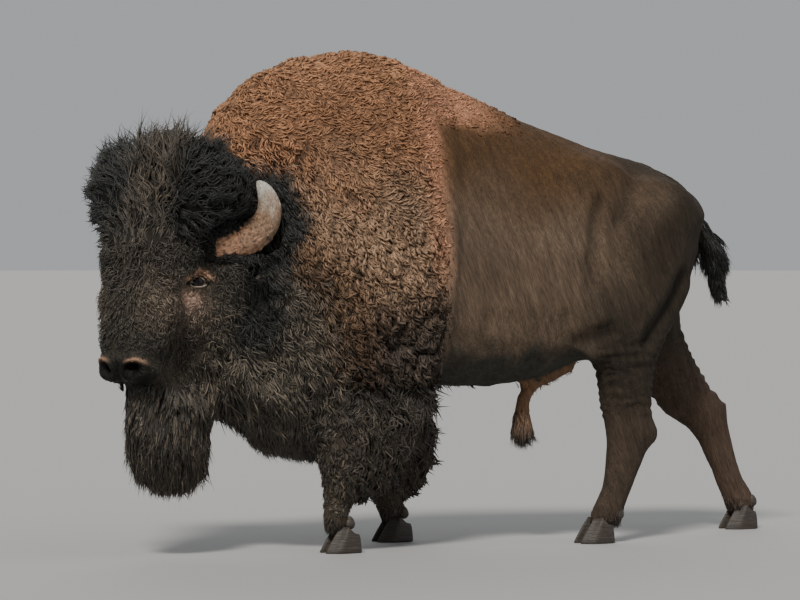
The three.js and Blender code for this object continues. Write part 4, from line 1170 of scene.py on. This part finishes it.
for side, word in BOTH:
    horn, t, a, local_points = sweep("horn_piece_" + word, HORN_ROUTE, horn_radius, 64, 150, flat=0.92)
    put_on_head(horn, local_points, side)
    if side < 0:
        horn.data.flip_normals()
    blur = waves(local_points, 0.05, 61)
    speck = waves(np.stack([0.10 * np.cos(a), 0.10 * np.sin(a), 0.9 * t], 1), 0.03, 63, 14)
    shade = mix(linear("aa7f61"), linear("8f7259"), step(0.30, 0.60, t + 0.06 * blur))
    shade = mix(shade, linear("453428"), 0.85 * step(0.2, 1.2, speck) * step(0.80, 0.5, t))
    shade = mix(shade, linear("b5a492"), step(0.66, 0.84, t + 0.05 * blur))
    shade = mix(shade, linear("ded9ce"), step(0.82, 0.95, t + 0.04 * blur))
    outer_edge = step(0.35, 0.9, np.cos(a + 0.3)) * step(0.25, 0.5, t) * step(0.97, 0.85, t)
    shade = mix(shade, linear("5c5b52"), 0.75 * outer_edge)
    set_colours(horn.data, shade)
    keep_vector(horn.data, "Strand", np.stack([np.cos(a), t, np.sin(a)], 1))
    finish_piece(horn, horn_material, "horn_" + word)

# %% [markdown]
# ## Hooves
# The claws and dewclaws are made afresh where their solids stand. A claw is lofted through seven levels over
# its solid's footprint, a dewclaw is a rounded lump, and growth rings run level round both.

# %% hooves
hoof_material, nodes, links, shader = new_material("hoof")
place = node(nodes, "ShaderNodeTexCoord").outputs["Object"]
ring_noise = noise_of(nodes, links, place, (14.0, 14.0, 190.0), 1.0, 3.0, 0.6)
scuff = noise_of(nodes, links, place, (1.0, 1.0, 1.0), 70.0, 5.0, 0.7)
hoof_colour = node(nodes, "ShaderNodeRGB")
hoof_colour.outputs[0].default_value = (*linear("332c26"), 1)
shade = tint(nodes, links, hoof_colour.outputs[0], ring_noise.outputs["Fac"], 0.6, 1.5)
links.new(tint(nodes, links, shade, scuff.outputs["Fac"], 0.7, 1.3), shader.inputs["Base Color"])
bump_of(nodes, links, shader, ring_noise.outputs["Fac"], 0.003)
shader.inputs["Roughness"].default_value = 0.58
claws = sorted(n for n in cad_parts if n.startswith("hoof"))
dewclaws = sorted(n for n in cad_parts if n.startswith("dewclaw"))
bm = bmesh.new()
SIDES = 40
CLAW_LEVELS = (
    (0.0, 0.93), (0.004, 1.0), (0.02, 1.0), (0.04, 0.985), (0.06, 0.96), (0.078, 0.93), (0.094, 0.88),
)
turn = np.arange(SIDES) * 2 * math.pi / SIDES
for name in claws:
    low, high = (np.array(c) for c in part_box(name))
    other = name.replace("inner", "?").replace("outer", "inner").replace("?", "outer")
    inward = np.sign(middle(other)[0] - middle(name)[0])
    wide, long = (high - low)[:2] / 2
    rings = []
    for level, grow in CLAW_LEVELS:
        heel = np.cos(turn)
        side = np.sin(turn)
        blunt = np.sign(side) * np.abs(side) ** 0.8
        narrow = 1 - 0.55 * step(-0.2, -1.0, heel)
        flatten = np.where(side * inward > 0, 0.82, 1.0)
        x = middle(name)[0] + wide * grow * blunt * narrow * flatten
        x = x + inward * 0.3 * wide * step(-0.3, -1.0, heel)
        y = (low[1] + high[1]) / 2 + long * grow * heel * 0.98 + 0.55 * level * step(0.6, -1.0, heel)
        z = level * (1 - 0.30 * step(-0.4, 1.0, heel)) + np.zeros(SIDES)
        rings.append([bm.verts.new(v) for v in np.stack([x, y, z], 1)])
    join_rings(bm, rings)
for name in dewclaws:
    low, high = (np.array(c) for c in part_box(name))
    made = bmesh.ops.create_icosphere(bm, subdivisions=3, radius=1.0)["verts"]
    for v in made:
        q = np.array(v.co)
        q[:2] *= 1 - 0.25 * q[2]
        v.co = middle(name) - [0, 0.010, 0] + q * (high - low) * [0.48, 0.40, 0.55]
bmesh.ops.recalc_face_normals(bm, faces=bm.faces)
hooves = add_piece("hooves", bm)
finish_piece(hooves, hoof_material, *claws, *dewclaws)

# %% [markdown]
# ## Ears
# The ears are leaf-shaped cups that lie level behind the horns, almost lost in the long dark hair there.

# %% ears
def ear_radius(t, a):
    return 0.040 * np.sin(math.pi * (0.16 + 0.80 * t)) ** 0.8


def ear_cup(t, a):
    return -0.020 * step(0.0, 1.0, np.sin(a)) * step(0.05, 0.3, t) * step(1.0, 0.8, t)


EAR_ROUTE = np.array([(-0.085, 0.0, 0.0), (0.0, -0.006, 0.006), (0.055, -0.010, 0.0), (0.095, 0, -0.012)])
ears = []
for side, word in BOTH:
    mid = to_head(middle("ear_" + word)[None])[0] * [side, 1, 1]
    ear, t, a, local_points = sweep("ear_piece_" + word, mid + EAR_ROUTE, ear_radius, 24, 26, flat=0.36,
                                    up=(0, 0.8, 0.6), dent=ear_cup)
    placed = put_on_head(ear, local_points, side)
    if side < 0:
        ear.data.flip_normals()
    shade = mix(SHADES["black"], SHADES["face_brown"], 0.5 * step(0.2, 1.0, np.sin(a)))
    set_colours(ear.data, shade)
    keep_vector(ear.data, "Strand", np.stack([0.03 * np.cos(a), 0.2 * t, 0.03 * np.sin(a)], 1))
    finish_piece(ear, HAIR, "ear_" + word)
    bm = bmesh.new()
    bm.from_mesh(ear.data)
    bmesh.ops.triangulate(bm, faces=bm.faces)
    ear_tris = np.array([[v.index for v in f.verts] for f in bm.faces])
    bm.free()
    ears.append({
        "co": placed, "tris": ear_tris, "area": areas_of(placed, ear_tris),
        "normal": normals_of(placed, ear_tris), "base": shade,
        "flow": np.tile(in_head(side, 0, 0) - in_head(0, 0, 0), (len(placed), 1)),
        "uv": np.stack([t, a / 7], 1)[ear_tris],
    })

# %% [markdown]
# ## The floor and the light
# A plain grey floor, a broad soft light high in front of the animal's left side, and two weak ones from its
# left rear and its far side, so that the dark coat keeps its form and nothing casts a hard edge.

# %% stage
bm = bmesh.new()
bmesh.ops.create_circle(bm, cap_ends=True, segments=96, radius=60.0)
floor = add_piece("floor", bm)
floor_material, nodes, links, shader = new_material("floor")
shader.inputs["Base Color"].default_value = (0.34, 0.34, 0.335, 1)
shader.inputs["Roughness"].default_value = 0.9
floor.data.materials.append(floor_material)
world = bpy.data.worlds.new("room")
bpy.context.scene.world = world
world.use_nodes = True
world.node_tree.nodes["Background"].inputs["Color"].default_value = (0.80, 0.82, 0.84, 1)
world.node_tree.nodes["Background"].inputs["Strength"].default_value = 0.50


def sun(name, toward, power, softness, colour=(1, 1, 1)):
    data = bpy.data.lights.new(name, "SUN")
    data.energy = power
    data.angle = math.radians(softness)
    data.color = colour
    lamp = new_object(name, data)
    lamp.rotation_mode = "QUATERNION"
    lamp.rotation_quaternion = Vector(toward).to_track_quat("Z", "Y")


sun("key", (0.62, -0.50, 0.80), 3.5, 12, (1.0, 0.96, 0.90))
sun("fill", (0.5, 0.8, 0.5), 0.45, 60)
sun("behind", (-0.8, 0.3, 0.6), 0.6, 40)

# %% [markdown]
# ## The cape
# Tens of thousands of short thick curls stand close together over the hump, shoulders and neck. Their
# direction swings by some tens of degrees from place to place, which gives the crumpled look of the wool,
# and they lengthen and darken lower down.

# %% cape
edge = cape_end(co)
cape = where("hump", "neck") * step(edge + 0.022, edge - 0.022, co[:, 1])
cape = np.maximum(cape, spine_strip(co))

ruff = step(0.50, 0.34, throat_far(co))
shaggy = step(0.19, 0.13, from_horn(to_head(co), 1, 5)) * where("neck", "hump")
behind_horn = np.linalg.norm(both_sides(to_head(co)) * [1, 1, 0.75] - BEHIND_HORN, axis=1)
shaggy = np.maximum(shaggy, step(0.16, 0.10, behind_horn) * where("neck"))
horn_room = step(0.064, 0.084, round_horn(to_head(co)))
wool_area = cape * (1 - ruff) * (1 - shaggy) * horn_room


# Where this is high the locks are pushed in and painted darker, as shade in the wool's crevices and folds.
def crevices(points):
    """Where the wool parts: along crooked lines that follow its ridges, and in the shoulder's big folds."""
    lying = np.abs(waves(points * [0.7, 0.5, 1.5], 0.060, 71, 12))
    standing = np.abs(waves(points * [0.7, 1.4, 0.5], 0.064, 72, 12))
    share = upright(points)
    small = (0.70 + 0.25 * share) * step(0.40, 0.0, lying * (1 - share) + standing * share)
    return np.maximum(small, 0.8 * deep_folds(points))


def wool_way(root, d, n):
    share = upright(root)[:, None]
    level = np.array([0.0, 1.0, -0.22])
    tall = np.array([0.0, 0.30, -1.0])
    return unit(level * (1 - share) + tall * share)


def by_edge(root):
    """Full size away from the cape's rear edge, and smaller close to it."""
    return 1 - 0.45 * step(-0.09, -0.01, root[:, 1] - cape_end(root))


def wool_length(root):
    return (0.038 + 0.008 * step(1.25, 0.9, root[:, 2])) * by_edge(root)


def wool_lift(root):
    return (43 - 10 * step(1.30, 1.60, root[:, 2])) * by_edge(root)


for word, half in (("left", co[:, 0] > 0), ("right", co[:, 0] <= 0)):
    piece = make_locks("coat_cape_" + word, 13000, wool_area * half, WOOL, 100 + len(word),
                       length=wool_length, lift=wool_lift, curl=0.28, swirl=36, swirl_size=0.06,
                       width=lambda root: 0.0084 + 0.0032 * step(1.35, 1.05, root[:, 2]),
                       thick=1.1, root_shade=0.58, light_tip=1.3, vary=0.13, side_shade=0.62, least=0.8,
                       deep=0.0012, bend=1.8, arch=True, ragged=0.35, flow_override=wool_way,
                       carve=crevices)
fuzz = make_locks("coat_fuzz", 8000, wool_area, WOOL, 151, length=0.024, width=0.0034, lift=38, curl=0.35,
                  swirl=60, swirl_size=0.08, rings=2, root_shade=0.7, light_tip=1.3, vary=0.2, stay=(1.0, 1.5),
                  flow_override=wool_way, carve=crevices)

# %% [markdown]
# ## Ruff
# On the cheeks and throat, and behind the horns, the curls give way to longer shaggy hair that hangs.

# %% ruff
shag = make_locks("coat_ruff", 8200, (ruff * cape * (1 - shaggy) + 1.6 * shaggy) * horn_room, HAIR, 171,
                  length=lambda root: 0.052 + 0.03 * step(0.9, 0.6, root[:, 2]), width=0.0085, lift=30,
                  fall=0.45, curl=0.22, swirl=42, swirl_size=0.08, root_shade=0.5, light_tip=1.3,
                  vary=0.28, ragged=0.35,
                  side_shade=0.7, clump=(5, 0.45), stay=(0.8, 1.4))
for ear, word in zip(ears, ("left", "right")):
    tuft = make_locks("coat_ear_" + word, 700, np.ones(len(ear["co"])), HAIR, 181, length=0.045,
                      width=0.005, lift=24, fall=0.3, curl=0.1, rings=2, light_tip=1.4, least=1.0, ground=ear)

# %% [markdown]
# ## Face and bonnet
# Short woolly hair covers the face and gets shorter towards the eyes and the muzzle. The bonnet is
# longer: it hangs over the forehead, curls between the horns and stands up in spikes on top.

# %% head coat
local = to_head(co)
hx, hy, hz = local.T
clear = 1 - np.clip(1.6 * (wet + hole + bare_rim), 0, 1)
folded = both_sides(local)
eye_rel = folded - EYE_AT
lid_far = np.hypot((eye_rel @ eye_along) * 0.70, (eye_rel @ eye_up) * 1.25)
face_area = (where("face") + where("beard") * step(-0.44, -0.41, hz)) * clear * step(0.026, 0.031, lid_far)
from_eye = np.linalg.norm(folded - EYE_SPOT, axis=1)
face_area = face_area * (1 + 1.3 * step(0.17, 0.08, from_eye) + 0.8 * step(-0.22, -0.28, hz))
horn_foot = 1.5 * step(0.10, 0.07, round_horn(local)) * where("face", "poll", "crown_hair")
face_area = np.maximum(face_area, horn_foot)


def short_by_horn(root):
    return 0.45 + 0.55 * step(0.050, 0.082, round_horn(to_head(root)))


def face_length(root):
    l = to_head(root)
    far = np.linalg.norm(both_sides(l) - EYE_SPOT, axis=1)
    jaw = step(-0.02, -0.12, l[:, 1])
    muzzle = step(-0.24, -0.30, l[:, 2])
    long = 0.008 + 0.030 * step(0.035, 0.13, far) * step(-0.305, -0.22, l[:, 2]) + 0.007 * muzzle
    long = long + 0.012 * muzzle * step(0.10, 0.125, np.abs(l[:, 0]))
    brow = step(-0.06, 0.06, l[:, 2]) * step(0.02, 0.08, l[:, 1])
    return (long + 0.012 * brow + 0.010 * step(0.0, 0.10, l[:, 2]) + 0.02 * jaw) * short_by_horn(root)


face_coat = make_locks("coat_face", 16000, face_area, SHORT, 201, length=face_length, width=0.0056, lift=44,
                       curl=0.30, swirl=52, swirl_size=0.045, rings=2, root_shade=0.5, light_tip=1.35,
                       vary=0.30, side_shade=0.65, stay=(2.0, 3.2), least=0.6, ragged=0.3)


def bonnet_places(root):
    """How far a root is up the crown, and how far out on one of the two side lobes."""
    l = to_head(root)
    return l, step(0.24, 0.42, l[:, 2]), step(0.10, 0.19, np.abs(l[:, 0]) + 0.03 * waves(root, 0.15, 91))


def bonnet_length(root):
    l, up, lobe = bonnet_places(root)
    front = step(0.0, 0.08, l[:, 1]) * (1 - lobe)
    brow = 0.32 + 0.68 * step(0.0, 0.22, l[:, 2])
    long = 0.085 + 0.066 * up * (1 - 0.7 * lobe) - 0.040 * front * (1 - up) - 0.024 * lobe
    return long * short_by_horn(root) * brow


def bonnet_lift(root):
    _, up, lobe = bonnet_places(root)
    return 30 + 34 * up * (1 - lobe) + 12 * lobe


def bonnet_way(root, d, n):
    l, up, lobe = bonnet_places(root)
    fan = HEAD_X * 3.2 * l[:, :1] + HEAD_Z
    out = np.sign(l[:, :1]) * HEAD_X + HEAD_Z * np.clip((l[:, 2:] - 0.24) * 5, -1, 1)
    return unit(fan) * (1 - lobe[:, None]) + unit(out) * lobe[:, None]


bonnet_area = step(0.45, 0.75, where("crown_hair", "poll")) * step(0.056, 0.074, round_horn(local))
bonnet_area = np.maximum(bonnet_area, 0.7 * where("face") * step(-0.08, 0.04, hz) * step(0.02, 0.08, hy))
bonnet = make_locks("coat_bonnet", 11600, bonnet_area, HAIR, 301, length=bonnet_length, width=0.0080,
                    lift=bonnet_lift, curl=0.14, waves_per_lock=1.2, swirl=30, root_shade=0.3, light_tip=1.6,
                    vary=0.42, flow_override=bonnet_way, bend=0.5, stay=(0.7, 2.3), ragged=0.45,
                    clump=(10, 0.60))

# %% [markdown]
# ## Beard, mane and trousers
# Long hair hangs from the chin and the throat and clothes the forelegs. It leaves the skin at an angle and
# is drawn down by its weight, in strands that wave a little.

# %% hanging hair
chin = where("face") * step(-0.362, -0.385, hz) * step(0.12, 0.08, hy) * clear
lip_clear = np.maximum(step(-0.40, -0.44, hz), step(0.125, 0.095, hy))


def beard_way(root, d, n):
    ahead_share = step(-0.02, 0.08, to_head(root)[:, 1:2])
    return -HEAD_Z + HEAD_Y * 0.55 * ahead_share


def beard_length(root):
    return 0.15 * (1 - 0.72 * step(-0.56, -0.71, to_head(root)[:, 2]))


beard = make_locks("coat_beard", 5600, where("beard") * lip_clear + 0.7 * chin, HAIR, 401,
                   length=beard_length, width=0.0100, lift=48, fall=1.0, curl=0.06, waves_per_lock=1.5,
                   swirl=16, rings=4, root_shade=0.5, light_tip=1.35, vary=0.50, flow_override=beard_way,
                   stay=(1.5, 2.8), least=0.12, ragged=0.35, clump=(9, 0.55))
mane_area = where("chest_mane") + 0.5 * where("neck") * step(0.72, 0.58, co[:, 2])
mane = make_locks("coat_mane", 7000, mane_area, HAIR, 501, length=0.120, width=0.011, lift=32, fall=0.9,
                  curl=0.14, swirl=28, light_tip=1.4, vary=0.36, stay=(0.85, 1.5), ragged=0.35,
                  side_shade=0.65, clump=(8, 0.55))
front_legs = where("foreleg_hair", "leg_upper_front")
front_legs = front_legs + 1.1 * where("shank_front") * step(0.09, 0.14, co[:, 2])


def trouser_length(root):
    return 0.022 + 0.030 * step(0.16, 0.30, root[:, 2]) + 0.035 * step(0.30, 0.45, root[:, 2])


trousers = make_locks("coat_trousers", 8800, front_legs, HAIR, 601, length=trouser_length, width=0.0100,
                      lift=34, fall=0.45, curl=0.24, waves_per_lock=1.2, swirl=48, swirl_size=0.07,
                      light_tip=1.5, vary=0.36, side_shade=0.65, stay=(1.0, 1.9), ragged=0.35, clump=(6, 0.5))

# %% [markdown]
# ## The short coat
# Behind the cape the hair is short and flat. The skin's own relief carries most of it, and a sprinkling of
# fine flat locks breaks the outline and catches the light along the back, flanks and legs.

# %% short coat
rear_area = where("barrel", "rump", "leg_upper_hind", "shank", "tail", "scrotum", "neck", "hump")
rear_area = rear_area * (1 - np.clip(cape, 0, 1))
rear = make_locks("coat_rear", 17300, rear_area, SHORT, 701, length=0.022, width=0.0034, lift=12, curl=0.06,
                  swirl=14, swirl_size=0.2, rings=2, root_shade=0.8, light_tip=1.3, vary=0.32, thick=0.5,
                  side_shade=0.8, stay=(1.5, 2.5))
tail_area = where("tail_tuft") + 1.3 * where("tail", rounds=1) * step(1.25, 1.20, co[:, 2])
tail_hair = make_locks("coat_tail", 2600, tail_area, HAIR, 801, width=0.007, lift=40, fall=0.9, curl=0.06,
                       length=lambda root: 0.145 - 0.070 * step(1.14, 1.03, root[:, 2]), swirl=26,
                       swirl_size=0.06, root_shade=0.6, light_tip=1.5, stay=(1.6, 3.2), least=0.5,
                       clump=(8, 0.5))
ankle = where("shank") * step(0.15, 0.12, co[:, 2])
fringe = make_locks("coat_fringe", 2200, ankle, HAIR, 811, length=0.036, width=0.0045, lift=24, fall=0.9,
                    curl=0.08, rings=2, light_tip=1.3, vary=0.3, least=1.0)
sheath_area = where("sheath") * (0.4 + 2.5 * step(0.52, 0.47, co[:, 2]))
belly_tuft = make_locks("coat_sheath", 900, sheath_area, HAIR, 821, width=0.005, lift=26,
                        length=lambda root: 0.022 + 0.055 * step(0.52, 0.46, root[:, 2]),
                        fall=0.9, curl=0.08, light_tip=1.3, vary=0.3, least=1.0, clump=(6, 0.5))
print("coat triangles:", sum(totals.values()))
